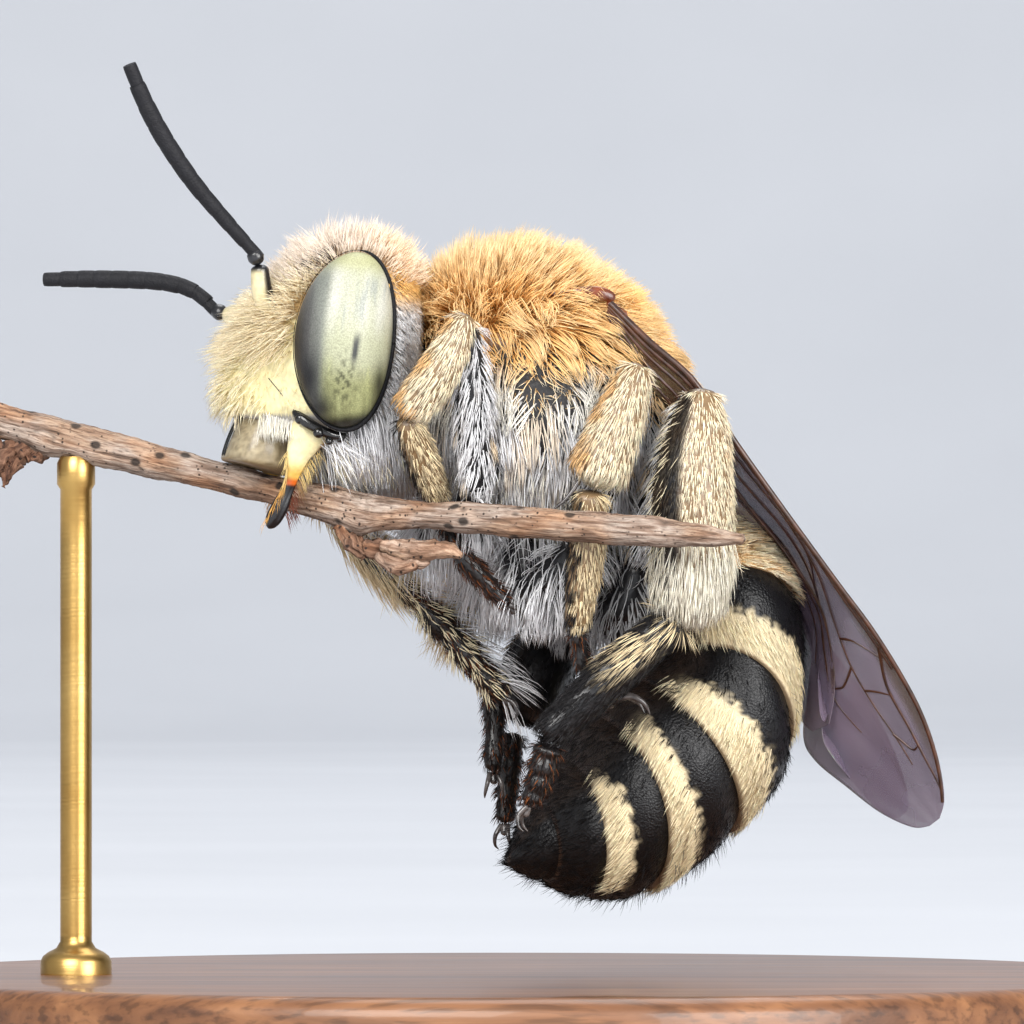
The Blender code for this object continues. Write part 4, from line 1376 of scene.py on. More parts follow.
@dataclass
class Feelers:
    """Scape, pedicel and eleven-ringed flagellum on each side."""

    finishes: Finishes
    left_line: Rows = ((-4.20, 0.58, 12.94), (-4.62, 0.62, 13.38), (-5.14, 0.68, 13.96),
                       (-5.58, 0.72, 14.58), (-5.88, 0.76, 15.10), (-6.08, 0.80, 15.54))
    right_line: Rows = ((-4.34, 1.30, 12.08), (-4.62, 1.50, 12.36), (-5.10, 1.80, 12.50),
                        (-5.90, 2.26, 12.54), (-6.52, 2.62, 12.54))
    scapes: dict[Side, Rows] = field(default_factory=lambda: {
        Side.LEFT: ((-3.86, 0.47, 11.96, 0.11), (-4.02, 0.52, 12.28, 0.155), (-4.08, 0.56, 12.72, 0.13)),
        Side.RIGHT: ((-3.88, 0.50, 12.02, 0.11), (-4.02, 0.80, 12.00, 0.155), (-4.18, 1.14, 11.97, 0.13)),
    })
    ring_radius: float = 0.128
    ring_count: int = 11
    ring_overlap: float = 1.07
    ring_tone: Colour = (0.014, 0.014, 0.017)

    def build(self) -> None:
        """Make both feelers."""
        tree = RingTree("feeler_rings", self.finishes.matt)
        for side, line in ((Side.LEFT, self.left_line), (Side.RIGHT, self.right_line)):
            rows = side.flip(self.scapes[side])
            grid = tube_grid(rows, 40, 28)
            front = ramp(grid[..., 0] - grid[..., 0].mean(1, keepdims=True), 0.06, -0.02)
            pale = front * ramp(np.linspace(0, 1, 40)[:, None], 0.92, 0.8)
            scape = Shape().add_grid(grid, blend(BLACK, paint(226, 212, 168), pale))
            start, end = side.flip(line[0]), rows[-1, :3]
            neck = [(*end, 0.07), (*(end * 0.55 + start * 0.45), 0.125), (*start, 0.095)]
            scape.add_grid(tube_grid(neck, 24, 24), BLACK * 1.4)
            scape.build("feeler_base_" + side.label, self.finishes.wax, "pale_face", ["scape_" + side.label])
            path = side.flip(smooth_rows(line, 60))
            ahead = unit(path[-1] - path[-2])
            tip = [(*(path[-1] - ahead * 0.05), 0.105), (*(path[-1] + ahead * 0.07), 0.085)]
            cap = Shape().add_grid(tube_grid(tip, 20, 28, round_start=0.3, round_end=1.0), BLACK * 0.9)
            cap.build("feeler_tip_" + side.label, self.finishes.matt, "dark_shell")
            run = np.linalg.norm(np.diff(path, axis=0), axis=1).sum()
            t = np.linspace(0, 1, len(path))
            thickness = 0.74 + 0.36 * np.sin(np.clip(t * 1.3, 0, 1) * math.pi * 0.5) - 0.26 * t ** 6
            step = run / (self.ring_count - 1)
            sizes = {"Ring Radius": self.ring_radius * MM, "Ring Length": step * self.ring_overlap * MM,
                     "Ring Count": self.ring_count}
            rings = tree.run("feeler_rings_" + side.label, [(to_world(path), thickness)], sizes)
            tone = rings.data.attributes.new("tone", "FLOAT_COLOR", "POINT")
            tone.data.foreach_set("color", np.tile([*self.ring_tone, 1.0], len(rings.data.vertices)))
            rings.data.set_sharp_from_angle(angle=math.radians(60))
            settle(rings, ["flagellum_" + side.label])


# ---- thorax ---------------------------------------------------------------------------------
@dataclass
class Thorax:
    """Thorax shell with its hair and wing scales; the narrow waist is a tube of the body's skin."""

    finishes: Finishes
    skin_rows: Rows = (
        (-1.55, 11.50, 10.75, 0.35),
        (-1.30, 12.05, 10.25, 0.85),
        (-0.95, 12.48, 9.68, 1.42),
        (-0.30, 12.74, 9.05, 1.84),
        (0.50, 12.70, 8.70, 2.00),
        (1.20, 12.40, 8.60, 1.98),
        (1.80, 11.86, 8.80, 1.84),
        (2.35, 11.12, 9.20, 1.50),
        (2.75, 10.45, 9.60, 0.95),
        (2.95, 10.15, 9.85, 0.40),
    )

    def skin(self) -> Surface:
        """The thorax's own surface."""
        rows = smooth_rows(self.skin_rows, 80)
        x, top, bottom, half = rows.T
        centres, upward = vectors(x, 0, (top + bottom) / 2), vectors(0, 0, (top - bottom) / 2)
        return Surface(ring_grid(centres, vectors(0, half, 0), upward, 110, 2.2))

    @staticmethod
    def skin_colour(points: Array) -> Array:
        """Warm under the back pile, dark on the sides, grey below."""
        z = points[..., 2] + 0.35 * np.maximum(points[..., 0] - 1.0, 0)
        tone = blend(paint(60, 58, 60), paint(34, 32, 34), ramp(z, 9.4, 10.6))
        return blend(tone, paint(214, 154, 84), ramp(z, 11.35, 11.9) * (1 - Thorax.hollow(points)))

    @staticmethod
    def hollow(points: Array) -> Array:
        """Share of the bare dark dip under the wing scale, from 0 to 1."""
        return spot(4, (points[..., 0], 0.95, 0.34), (points[..., 2], 11.96, 0.17))

    def build_tegulae(self) -> None:
        """Glossy scale over each wing root, with a small sclerite behind it."""
        scale = ((0.14, 1.62, 12.27, 0.03), (0.48, 1.74, 12.31, 0.06), (0.82, 1.82, 12.30, 0.095),
                 (1.02, 1.84, 12.24, 0.09), (1.10, 1.84, 12.18, 0.05))
        sclerite = ((0.98, 1.84, 12.14, 0.05), (1.14, 1.90, 12.04, 0.07), (1.26, 1.96, 11.94, 0.05))
        for side in Side:
            shape = Shape()
            for line in (scale, sclerite):
                shape.add_grid(tube_grid(side.flip(line), 50, 30, 0.6, 1.2, 1.2), BLACK)
            shape.build("wing_scale_" + side.label, self.finishes.amber, "tegula", ["tegula_" + side.label])

    def build_coat(self, skin: Surface) -> None:
        """Tawny pile above, orange tufts at the shoulders, long silver hair below.

        Args:
            skin: The thorax's surface.
        """
        x, z = skin.points[..., 0], skin.points[..., 2]
        top = ramp(z + 0.35 * np.maximum(x - 1.0, 0), 11.75, 12.15) * (1 - 0.9 * self.hollow(skin.points))
        back = Strands(np.random.default_rng(21))
        roots = skin.scatter(top * 640.0, back.rng)
        p = roots.points
        warm = np.clip(ramp(ripple(p, 0.9, 31), -0.2, 0.8) * 0.5 + ramp(p[:, 2], 12.55, 12.1) * 0.7, 0, 1)
        tone = blend(TAWNY, ORANGE, warm)
        length = 0.54 + 0.10 * ramp(p[:, 0], 1.8, 0.6) - 0.14 * ramp(p[:, 0], 1.9, 2.5)
        length = length * (1 + 0.14 * ripple(p, 0.45, 34))
        lie = vectors(0.8 + 0.5 * ripple(p, 0.8, 33), p[:, 1] * 0.35, 0.1 - 0.6 * warm)
        half = back.rng.random(len(roots)) < 0.5
        long = Strands(np.random.default_rng(22))
        for coat, pick, angles, name in ((back, half, (74, 46), "coat_back_under_pile"),
                                         (long, ~half, (78, 58), "coat_back_long_pile")):
            pale = np.full(pick.sum(), 0.85) - 0.35 * warm[pick]
            coat.grow(roots.keep(pick), lie[pick], length[pick], angles, 0.022, tone[pick] * 0.95,
                      blend(tone[pick], TAWNY_TIP, pale), segments=3, spread=0.35, clump=0.65, lock=12,
                      wave=0.14)
            coat.build(name, self.finishes.hair, "coat")
        for side in Side:
            self.build_flank(skin, side, top)
        belly = Strands(np.random.default_rng(27))
        low = np.clip(ramp(z, 9.2, 8.9) + ramp(skin.normals[..., 2], -0.3, -0.7) * 0.6, 0, 1)
        hang = skin.scatter(low * ramp(skin.points[..., 1], 0.4, -0.2) * 90.0, belly.rng)
        belly.grow(hang, (0.3, -0.2, -1.0), 1.35, (70, 50), 0.028, SILVER * 0.36, SILVER * 0.72, segments=4,
                   spread=0.25, clump=0.6, lock=14, wave=0.1, droop=0.5)
        roots = skin.scatter(low * 250.0, belly.rng)
        belly.grow(roots, (0.2, 0.0, -0.6), 0.74, (64, 44), 0.026, SILVER * 0.5, BAND_WHITE * 0.85,
                   segments=3, spread=0.35, clump=0.6, lock=14, wave=0.12, droop=0.3)
        rump = ramp(skin.normals[..., 0], 0.25, 0.6) * (1 - top) * ramp(z, 8.9, 9.2)
        roots = skin.scatter(rump * 300.0, belly.rng)
        tone = blend(ORANGE, STRAW, belly.rng.random(len(roots)))
        tip = blend(tone, PALE_TIP, np.full(len(tone), 0.4))
        belly.grow(roots, (0.3, 0.0, -1.0), 0.50, (56, 34), 0.024, tone * 0.92, tip, segments=3,
                   spread=0.35, clump=0.65, lock=14, wave=0.12, droop=0.2)
        belly.build("coat_belly_rump", self.finishes.hair, "coat")

    def build_flank(self, skin: Surface, side: Side, top: Array) -> None:
        """One side of the thorax: orange shoulder locks, a thin patch, then long silver locks.

        Args:
            skin: The thorax's surface.
            side: Which side to grow.
            top: Share of the back pile at each grid point.
        """
        x, z = skin.points[..., 0], skin.points[..., 2]
        flank = Strands(np.random.default_rng(23 + side.value))
        near = ramp(skin.points[..., 1] * side.value, 0.0, 0.3)
        bare = spot(4, (x, -0.05, 0.50), (z, 11.02, 0.36))
        notch = spot(2, (x, -0.98, 0.30), (z, 11.75, 0.45))
        upper = near * (1 - top) * ramp(z, 11.25, 11.6) * (1 - 0.8 * notch)
        roots = skin.scatter(upper * 380.0, flank.rng)
        p = roots.points
        swirl = ripple(p, 1.3, 43)
        tone = blend(ORANGE, TAWNY, ramp(ripple(p, 0.6, 41), -0.2, 0.9))
        lie = vectors(0.55 + 0.9 * swirl, 0, -0.8 + 0.3 * swirl)
        tip = blend(tone, TAWNY_TIP, np.full(len(p), 0.6))
        flank.grow(roots, lie, 0.80, (48, 20), 0.023, tone * 0.97, tip, segments=4, spread=0.10, clump=0.84,
                   lock=60, wave=0.06, droop=0.12)
        brow = near * ramp(z, 11.75, 11.9) * ramp(z, 12.4, 12.25) * ramp(x, -1.15, -0.9) * ramp(x, 0.95, 0.6)
        roots = skin.scatter(brow * 330.0, flank.rng)
        p = roots.points
        tone = blend(ORANGE, TAWNY, ramp(ripple(p, 0.5, 51), -0.4, 0.6))
        lie = vectors(0.40 + 0.6 * ripple(p, 0.9, 52), 0, -1.0)
        tip = blend(tone, TAWNY_TIP, np.full(len(p), 0.6))
        flank.grow(roots, lie, 0.88, (58, 22), 0.022, tone, tip, segments=4, spread=0.12, clump=0.86,
                   lock=50, wave=0.06, droop=0.12)
        middle = near * ramp(z, 11.6, 11.25) * ramp(z, 10.45, 10.8) * (1 - 0.88 * bare)
        roots = skin.scatter(middle * 260.0, flank.rng)
        p = roots.points
        high = ramp(p[:, 2] + 0.4 * ripple(p, 0.8, 45), 10.8, 11.6)
        warm = np.clip(high + ramp(p[:, 0], 1.2, 1.7) * 0.8, 0, 1)
        tone = blend(SILVER, ORANGE, warm)
        lie = vectors(-0.15 + 0.9 * ripple(p, 1.0, 44), 0, -1.0)
        tip = blend(tone, PALE_TIP, np.full(len(p), 0.55))
        flank.grow(roots, lie, 0.60, (42, 18), 0.024, tone * 0.9, tip, segments=4, spread=0.16, clump=0.70,
                   lock=22, wave=0.10, droop=0.2)
        roots = skin.scatter(near * bare * 190.0, flank.rng)
        flank.grow(roots, (0.35, 0.0, -0.9), 0.30, (46, 24), 0.016, GOLD * 0.85, PALE_TIP, segments=2,
                   spread=0.55, clump=0.5, lock=7, wave=0.15)
        lower = near * ramp(z, 10.8, 10.45) * ramp(z, 8.75, 9.0)
        roots = skin.scatter(lower * 250.0, flank.rng)
        p = roots.points
        tan = ramp(ripple(p, 1.0, 47) + ramp(p[:, 0], 1.2, 2.0), 0.5, 1.1) * 0.5
        tone = blend(SILVER, STRAW, tan)
        lie = vectors(0.15 + 0.35 * ripple(p, 0.9, 49), 0, -1.0)
        flank.grow(roots, lie, 0.92, (36, 8), 0.024, tone * 0.78, tone * 1.02, segments=4, spread=0.12,
                   clump=0.84, lock=18, wave=0.12, droop=0.3)
        flank.build("coat_flank_" + side.label, self.finishes.hair, "coat")


# ---- abdomen --------------------------------------------------------------------------------
@dataclass
class Abdomen:
    """Seven overlapping plates with cream bands of flat hair."""

    finishes: Finishes
    rows: Rows = (
        (3.20, 9.15, 2.20, 8.15, 1.00, 0.20),
        (4.45, 7.62, 1.96, 7.85, 1.92, 0.46),
        (4.28, 5.28, 1.86, 6.91, 2.19, 0.70),
        (3.43, 4.04, 1.48, 6.70, 2.18, 0.22),
        (2.16, 3.19, 1.05, 6.11, 2.00, 0.27),
        (1.25, 3.07, 0.80, 5.40, 1.55, 0.05),
        (0.58, 3.27, 0.34, 4.80, 0.96, 0.05),
        (-0.10, 3.60, -0.04, 3.92, 0.22, 0.00),
    )
    band_start: tuple[float, ...] = (0.0, 0.55, 0.56, 0.55, 0.54, 2.0, 2.0)
    inset: float = 0.06

    def plate(self, index: int) -> tuple[Surface, Array, Array]:
        """One plate's surface, with the share along it and the angle from its dorsal line.

        Args:
            index: 0 for the first plate.

        Returns:
            Surface, share from front to rear margin, and angle in degrees.
        """
        fine, sides = 26, 120
        table = smooth_rows(self.rows, (len(self.rows) - 1) * fine + 1)
        lead = 4 if index else 0
        dorsal = vectors(table[:, 0], 0, table[:, 1])
        ventral = vectors(table[:, 2], 0, table[:, 3])
        ahead = unit(np.gradient((dorsal + ventral) / 2, axis=0))
        first = index * fine - lead
        part = slice(first, (index + 1) * fine + 1)
        share = (np.arange(len(table[part])) - lead) / fine
        centre = (dorsal + ventral)[part] / 2
        upward = (dorsal - ventral)[part] / 2
        height = np.linalg.norm(upward, axis=1)
        tucked = 0.13 * ramp(share, 0.42, -0.16) if index else 0.0
        flare = -self.inset - tucked - 0.03 * ramp(share, 0.955, 1.005)
        across = vectors(0, np.maximum(table[part, 4] + flare, 0.05), 0)
        upward = upward * np.maximum(1 + flare / height, 0.2)[:, None]
        grid = ring_grid(centre, across, upward, sides)
        turn = np.linspace(0, TURN, sides, endpoint=False)
        bow = np.abs(np.cos(turn)) ** 1.6
        grid = grid - ahead[part][:, None] * (table[part, 5][:, None] * bow[None])[..., None]
        angle = np.broadcast_to(np.degrees(np.arccos(np.clip(np.sin(turn), -1, 1)))[None], grid.shape[:2])
        plates = len(self.band_start)
        surface = Surface(grid, (0.0, index / plates, 1.0, (index + 1) / plates))
        return surface, np.broadcast_to(share[:, None], angle.shape), angle

    def band(self, index: int, share: Array, angle: Array, points: Array) -> Array:
        """How cream each place on a plate is.

        Args:
            index: 0 for the first plate.
            share: Place from the front to the rear margin.
            angle: Angle from the dorsal line, in degrees.
            points: Places on the plate.

        Returns:
            A share from 0 to 1 for each place.
        """
        ragged = 0.04 * ripple(points, 0.22, 60 + index) + 0.03 * ripple(points, 0.07, 70 + index)
        edge = self.band_start[index] + ragged
        if index in (1, 2):
            edge = edge + 0.10 * ramp(angle, 55, 15)
        if index == 4:
            edge = edge + 0.22 * ramp(angle, 102, 128)
        band = ramp(share, edge - 0.03, edge + 0.05) * ramp(angle, 138, 120)
        if index == 4:
            band = band * ramp(angle + 8 * ripple(points, 0.2, 3), 24, 40)
        return band

    def build(self) -> None:
        """Make the seven plates, their bands and their black hair."""
        cream, more, dark = (Strands(np.random.default_rng(seed)) for seed in (31, 32, 33))
        tone = CREAM * 1.03
        root = tone * np.array([0.97, 0.93, 0.86])
        for index in range(len(self.band_start)):
            surface, share, angle = self.plate(index)
            band = self.band(index, share, angle, surface.points)
            colour = blend(BLACK * 0.5, root * 0.85, band * 0.9)
            if index == 0:
                colour = blend(colour, paint(232, 190, 136), ramp(angle, 130, 100))
            lip = ramp(share, 0.975, 0.995)
            colour = blend(colour, paint(96, 66, 44), lip * (0.7 if index < 4 else 0.4))
            colour = blend(colour, paint(44, 32, 24), ramp(angle, 118, 135) * 0.7)
            plate = Shape().add_grid(surface.points, colour)
            plate.build("abdomen_plate_%d" % (index + 1), self.finishes.plates, "banded_shell",
                        ["abdomen_%d" % (index + 1)])
            shown = ramp(share, -0.03, 0.02)
            if 0 < index < 5:
                coat = cream if index < 3 else more
                roots = surface.scatter(band * shown * ramp(share, 0.86, 0.80) * 820.0, coat.rng)
                coat.grow(roots, self.lie(roots, 0.45), 0.33, (15, 5), 0.016, root * 0.8, tone, segments=3,
                          spread=0.07, clump=0.30, lock=6, wave=0.05)
            if index == 0:
                roots = surface.scatter(shown * ramp(angle, 140, 110) * 430.0, cream.rng)
                far = 1.2 * ramp(roots.share, 0.9, 0.3)
                warm = ramp(ripple(roots.points, 0.4, 5), 0, 1)
                pile = blend(paint(255, 238, 206), paint(255, 218, 168), warm)
                cream.grow(roots, self.lie(roots, 0.1), 0.28 + 0.22 * far, (50, 24), 0.023, pile, pile,
                           segments=3, spread=0.35, clump=0.6, lock=12, wave=0.25)
            self.grow_black(dark, index, surface, share, angle, (1 - band) * shown, shown)
        cream.build("coat_bands_front", self.finishes.hair, "coat")
        more.build("coat_bands_rear", self.finishes.hair, "coat")
        dark.build("coat_black_pile", self.finishes.dark_hair, "coat")

    def grow_black(self, dark: Strands, index: int, surface: Surface, share: Array, angle: Array, bare: Array,
                   shown: Array) -> None:
        """Flat black hair between the bands, and upright hair under the belly and along the back.

        Args:
            dark: Where the hairs go.
            index: 0 for the first plate.
            surface: The plate's surface.
            share: Place from the front to the rear margin.
            angle: Angle from the dorsal line, in degrees.
            bare: Share of the plate that shows and isn't cream.
            shown: Share of the plate that the one before it doesn't cover.
        """
        glint = 1 - 0.75 * ramp(angle, 45, 75) * ramp(angle, 115, 90) * ramp(share, 0.7, 0.5) * (index < 5)
        flat = bare * ramp(share, 0.99, 0.96) * glint
        roots = surface.scatter(flat * (230.0 if index < 5 else 360.0), dark.rng)
        dark.grow(roots, self.lie(roots, 0.3), 0.23, (18, 6), 0.013, SOOT * 0.3, SOOT * 0.55, segments=2,
                  spread=0.16, clump=0.1, lock=6)
        under = surface.scatter(ramp(angle, 112, 128) * shown * 55.0, dark.rng)
        dark.grow(under, self.lie(under, 0.0), 0.36, (52, 30), 0.013, SOOT * 0.5, SOOT * 1.2, segments=3,
                  spread=0.3)
        if index:
            density, size = (26.0, 0.16) if index < 3 else (46.0, 0.30)
            roots = surface.scatter(ramp(angle, 75, 25) * shown * density, dark.rng)
            dark.grow(roots, self.lie(roots, 0.1), size, (58, 40), 0.012, SOOT * 0.5, SOOT, segments=3,
                      spread=0.25)

    @staticmethod
    def lie(roots: Roots, rise: float) -> Array:
        """Toward the tail, swung toward the back on the sides."""
        toward = np.cross(roots.normals, roots.along) * -np.sign(roots.normals[:, 1:2])
        side = ramp(np.abs(roots.normals[:, 1]), 0.3, 0.9)
        return roots.along + toward * (rise * side)[:, None]


# ---- legs -----------------------------------------------------------------------------------
# Middle line and radius of each part, with Y outward. RIGHT_PARTS holds what the right side does its own way.
LEG_LINES = {
    "fore": {
        "hip": ((-0.72, 0.60, 9.30, 0.34), (-0.90, 1.00, 8.82, 0.32), (-0.96, 1.35, 8.90, 0.26),
                (-0.95, 1.55, 9.22, 0.20)),
        "femur": ((-0.95, 1.55, 9.30, 0.20), (-1.15, 1.98, 10.6, 0.27), (-1.32, 2.32, 11.78, 0.18)),
        "tibia": ((-1.34, 2.40, 11.96, 0.17), (-1.72, 2.42, 11.20, 0.31), (-2.18, 2.22, 10.50, 0.29)),
        "basitarsus": ((-2.20, 2.14, 10.42, 0.19), (-1.84, 1.64, 9.78, 0.24), (-1.44, 1.12, 9.20, 0.19)),
        "tarsus": ((-1.42, 1.10, 9.16, 0.13), (-1.16, 1.32, 8.40, 0.16), (-0.44, 1.36, 7.62, 0.13)),
    },
    "mid": {
        "hip": ((0.00, 0.60, 8.80, 0.40), (0.02, 1.02, 8.02, 0.38), (0.26, 1.45, 8.02, 0.32),
                (0.60, 1.83, 8.56, 0.22)),
        "femur": ((0.62, 1.85, 8.64, 0.22), (0.98, 2.20, 9.80, 0.28), (1.22, 2.56, 11.02, 0.19)),
        "tibia": ((1.26, 2.68, 11.22, 0.20), (0.92, 2.76, 10.40, 0.38), (0.54, 2.72, 9.46, 0.47)),
        "basitarsus": ((0.50, 2.64, 9.34, 0.24), (0.48, 2.44, 8.30, 0.27), (0.42, 2.14, 7.26, 0.18)),
        "tarsus": ((0.42, 2.12, 7.22, 0.12), (0.60, 2.06, 6.62, 0.12), (0.78, 2.26, 6.10, 0.10)),
    },
    "hind": {
        "hip": ((1.42, 0.60, 8.60, 0.38), (1.34, 1.05, 7.52, 0.42), (1.40, 1.45, 7.58, 0.38),
                (1.54, 1.73, 8.26, 0.25)),
        "femur": ((1.55, 1.75, 8.32, 0.24), (1.86, 2.20, 9.60, 0.34), (2.10, 2.64, 10.72, 0.22)),
        "tibia": ((2.20, 2.80, 10.86, 0.22), (2.14, 2.88, 10.25, 0.44), (2.04, 2.94, 9.50, 0.58),
                  (2.02, 2.92, 8.40, 0.60), (1.96, 2.86, 7.52, 0.46)),
        "basitarsus": ((1.84, 2.80, 7.44, 0.28), (0.84, 2.66, 6.56, 0.33), (-0.16, 2.46, 5.62, 0.24)),
        "tarsus": ((-0.08, 2.44, 5.54, 0.21), (-0.20, 2.34, 5.04, 0.20), (-0.34, 2.26, 4.62, 0.14)),
    },
}
RIGHT_PARTS = {
    "fore": {
        "femur": ((-0.95, 1.55, 9.30, 0.20), (-1.70, 2.12, 10.25, 0.27), (-2.34, 2.60, 11.14, 0.18)),
        "tibia": ((-2.42, 2.62, 11.02, 0.17), (-2.50, 2.44, 10.20, 0.31), (-2.46, 2.16, 9.42, 0.29)),
        "basitarsus": ((-2.42, 2.10, 9.32, 0.19), (-1.95, 1.82, 8.66, 0.24), (-1.45, 1.50, 7.98, 0.19)),
        "tarsus": ((-1.34, 1.48, 7.93, 0.18), (-0.62, 1.24, 7.12, 0.21), (0.12, 1.02, 6.20, 0.17)),
    },
    "mid": {
        "basitarsus": ((0.44, 2.66, 9.34, 0.24), (0.02, 2.40, 8.25, 0.27), (-0.37, 2.10, 7.24, 0.18)),
        "tarsus": ((-0.36, 2.08, 7.18, 0.17), (0.16, 1.84, 6.30, 0.17), (0.14, 1.62, 5.04, 0.14)),
    },
    "hind": {
        "basitarsus": ((1.80, 2.80, 7.42, 0.36), (1.18, 2.62, 6.68, 0.54), (0.84, 2.40, 5.80, 0.42)),
        "tarsus": ((0.64, 2.32, 5.62, 0.17), (0.54, 2.20, 4.90, 0.17), (0.46, 2.12, 4.24, 0.14)),
    },
}


@dataclass
class Leg:
    """One leg: hip, thigh, shin, long foot joint, four small foot joints and two claws."""

    name: str
    side: Side
    finishes: Finishes
    seed: int = 0
    foot_joints: int = 4

    def lines(self) -> dict[str, Array]:
        """Middle lines with radii, on this leg's side."""
        table = dict(LEG_LINES[self.name])
        if self.side is Side.RIGHT:
            table.update(RIGHT_PARTS[self.name])
        return {part: self.side.flip(rows) for part, rows in table.items()}

    def surfaces(self) -> dict[str, Surface]:
        """A surface for each part of the leg."""
        found = {}
        for number, (part, rows) in enumerate(self.lines().items()):
            stations = 32
            grid = tube_grid(rows, stations, 26, flatten=0.86)
            if part == "tarsus":
                share = np.linspace(0, 1, stations)[:, None, None]
                middle = grid.mean(1, keepdims=True)
                joint = share * self.foot_joints
                swell = np.abs(np.sin(share * math.pi * self.foot_joints + 0.25)) ** 0.6
                grid = middle + (grid - middle) * (0.78 + 0.34 * swell * (joint % 1 * 0.5 + 0.6))
            found[part] = Surface(grid, (0.0, number / 5, 1.0, (number + 1) / 5))
        return found

    def add_skin(self, skin: Shape, surfaces: dict[str, Surface]) -> None:
        """Append this leg to the body's skin.

        Args:
            skin: The body's skin.
            surfaces: This leg's surfaces by part.
        """
        for part, surface in surfaces.items():
            tone = np.broadcast_to(BLACK * 0.8, surface.points.shape)
            if part in ("tibia", "basitarsus") and not (part == "basitarsus" and self.name == "hind"):
                outer = ramp(surface.normals[..., 1] * self.side.value, -0.4, 0.1)
                long = np.linspace(0, 1, len(outer))[:, None]
                outer = outer * ramp(long, 0.0, 0.06) * ramp(long, 0.985, 0.95)
                if self.name == "hind":
                    outer = outer * ramp(surface.normals[..., 0], -0.62, -0.36)
                tone = blend(tone, paint(146, 118, 84), outer * 0.85)
            if part == "tarsus":
                tone = np.broadcast_to(paint(22, 18, 18), surface.points.shape)
            skin.add_grid(surface.points, tone)

    def build_claws(self) -> None:
        """Two curved claws and the pad between them, and the shin's spur."""
        lines = self.lines()
        end = lines["tarsus"][-1, :3]
        ahead, size = unit(end - lines["tarsus"][-2, :3]), 1.0
        if self.name == "mid" and self.side is Side.LEFT:
            ahead, size = unit(np.array([1.0, -0.10, 0.05])), 1.75
        lateral = unit(np.cross(ahead, np.array([0.0, 0.0, 1.0])) + np.array([0, 0.001, 0]))
        upward = np.cross(lateral, ahead)
        shape = Shape()
        for sign in (-1, 1):
            curve = [(*(end + lateral * sign * 0.05 + ahead * 0.02), 0.045 * size)]
            for out, forth, up, radius in ((0.11, 0.20, 0.07, 0.036 * size), (0.14, 0.34, 0.01, 0.024 * size),
                                           (0.13, 0.40, -0.10, 0.006)):
                curve.append((*(end + (lateral * sign * out + ahead * forth + upward * up) * size), radius))
            shape.add_grid(tube_grid(curve, 26, 12, round_start=0.5, round_end=1.0), BLACK)
        pad = [(*(end + ahead * forth), radius)
               for forth, radius in ((0.02, 0.05), (0.15, 0.06), (0.2, 0.03))]
        shape.add_grid(tube_grid(pad, 20, 14), paint(120, 40, 24))
        if self.name != "fore":
            heel = lines["tibia"][-1, :3]
            spur = [(*(heel + np.array([x, 0, z])), radius)
                    for x, z, radius in ((-0.22, 0.02, 0.035), (-0.45, -0.28, 0.028), (-0.78, -0.52, 0.006))]
            shape.add_grid(tube_grid(spur, 24, 10, round_end=1.0), BLACK)
        shape.build("claws_%s_%s" % (self.name, self.side.label), self.finishes.claw, "dark_shell")

    def build_coat(self, surfaces: dict[str, Surface]) -> None:
        """Flat cream hair on the shin and foot, feathery hair on the thigh.

        Args:
            surfaces: This leg's surfaces by part.
        """
        rng = np.random.default_rng(100 + self.seed)
        hair = Strands(rng)
        s = self.side.value
        for part, surface in surfaces.items():
            outer = ramp(surface.normals[..., 1] * s, -0.55, 0.15)
            if part == "hip":
                pale = SILVER if self.name != "hind" else SILVER * 0.5
                low = ramp(surface.normals[..., 2], 0.6, -0.2)
                roots = surface.scatter(60.0 + low * (150.0 if self.name != "hind" else 70.0), rng)
                long = 0.80 if self.name == "mid" else 1.15 if self.name == "fore" and s > 0 else 0.55
                hair.grow(roots, (0.0, 0.1 * s, -1.0), long, (52, 26), 0.024, pale * 0.85, pale, segments=4,
                          spread=0.25, clump=0.75, lock=12, wave=0.1, droop=0.35)
            elif part == "femur":
                roots = surface.scatter(50.0 + outer * 190.0, rng)
                p = roots.points
                pale = blend(SILVER, STRAW, ramp(ripple(p, 0.6, 81 + self.seed), 0.2, 1.0) * 0.7)
                sweep = roots.along * -0.9 + np.array([-0.35, 0, -0.35])
                hair.grow(roots, sweep, 0.40, (32, 12), 0.021, pale * 0.8, pale, segments=3, spread=0.2,
                          clump=0.7, lock=9, wave=0.12)
            elif part == "tibia":
                self.grow_tibia(hair, surface, outer)
            elif part == "basitarsus":
                self.grow_basitarsus(hair, surface, outer)
            else:
                roots = surface.scatter(np.full(outer.shape, 420.0), rng)
                rarity = 2.6 if self.name == "fore" and s < 0 else 5
                tone = blend(SOOT * 0.8, paint(150, 84, 38), rng.random(len(roots)) ** rarity)
                hair.grow(roots, roots.along, 0.20, (38, 20), 0.018, tone * 0.7, tone, segments=2,
                          spread=0.30, clump=0.3, lock=6)
                if self.name == "fore" and self.side is Side.RIGHT:
                    n = surface.normals
                    roots = surface.scatter(ramp(n[..., 0] * 0.7 - n[..., 2] * 0.7, 0.3, -0.2) * 200.0, rng)
                    hair.grow(roots, roots.along, 0.30, (48, 30), 0.022, CREAM * 0.8, CREAM, segments=3,
                              spread=0.2, clump=0.5, lock=8)
                    roots = surface.scatter(ramp(n[..., 0], 0.2, 0.6) * 150.0, rng)
                    hair.grow(roots, (0.6, 0.0, -0.9), 0.95, (50, 30), 0.024, SILVER * 0.7, SILVER,
                              segments=4, spread=0.25, clump=0.6, lock=9, wave=0.1, droop=0.3)
        hair.build("coat_leg_%s_%s" % (self.name, self.side.label), self.finishes.hair, "leg_coat")

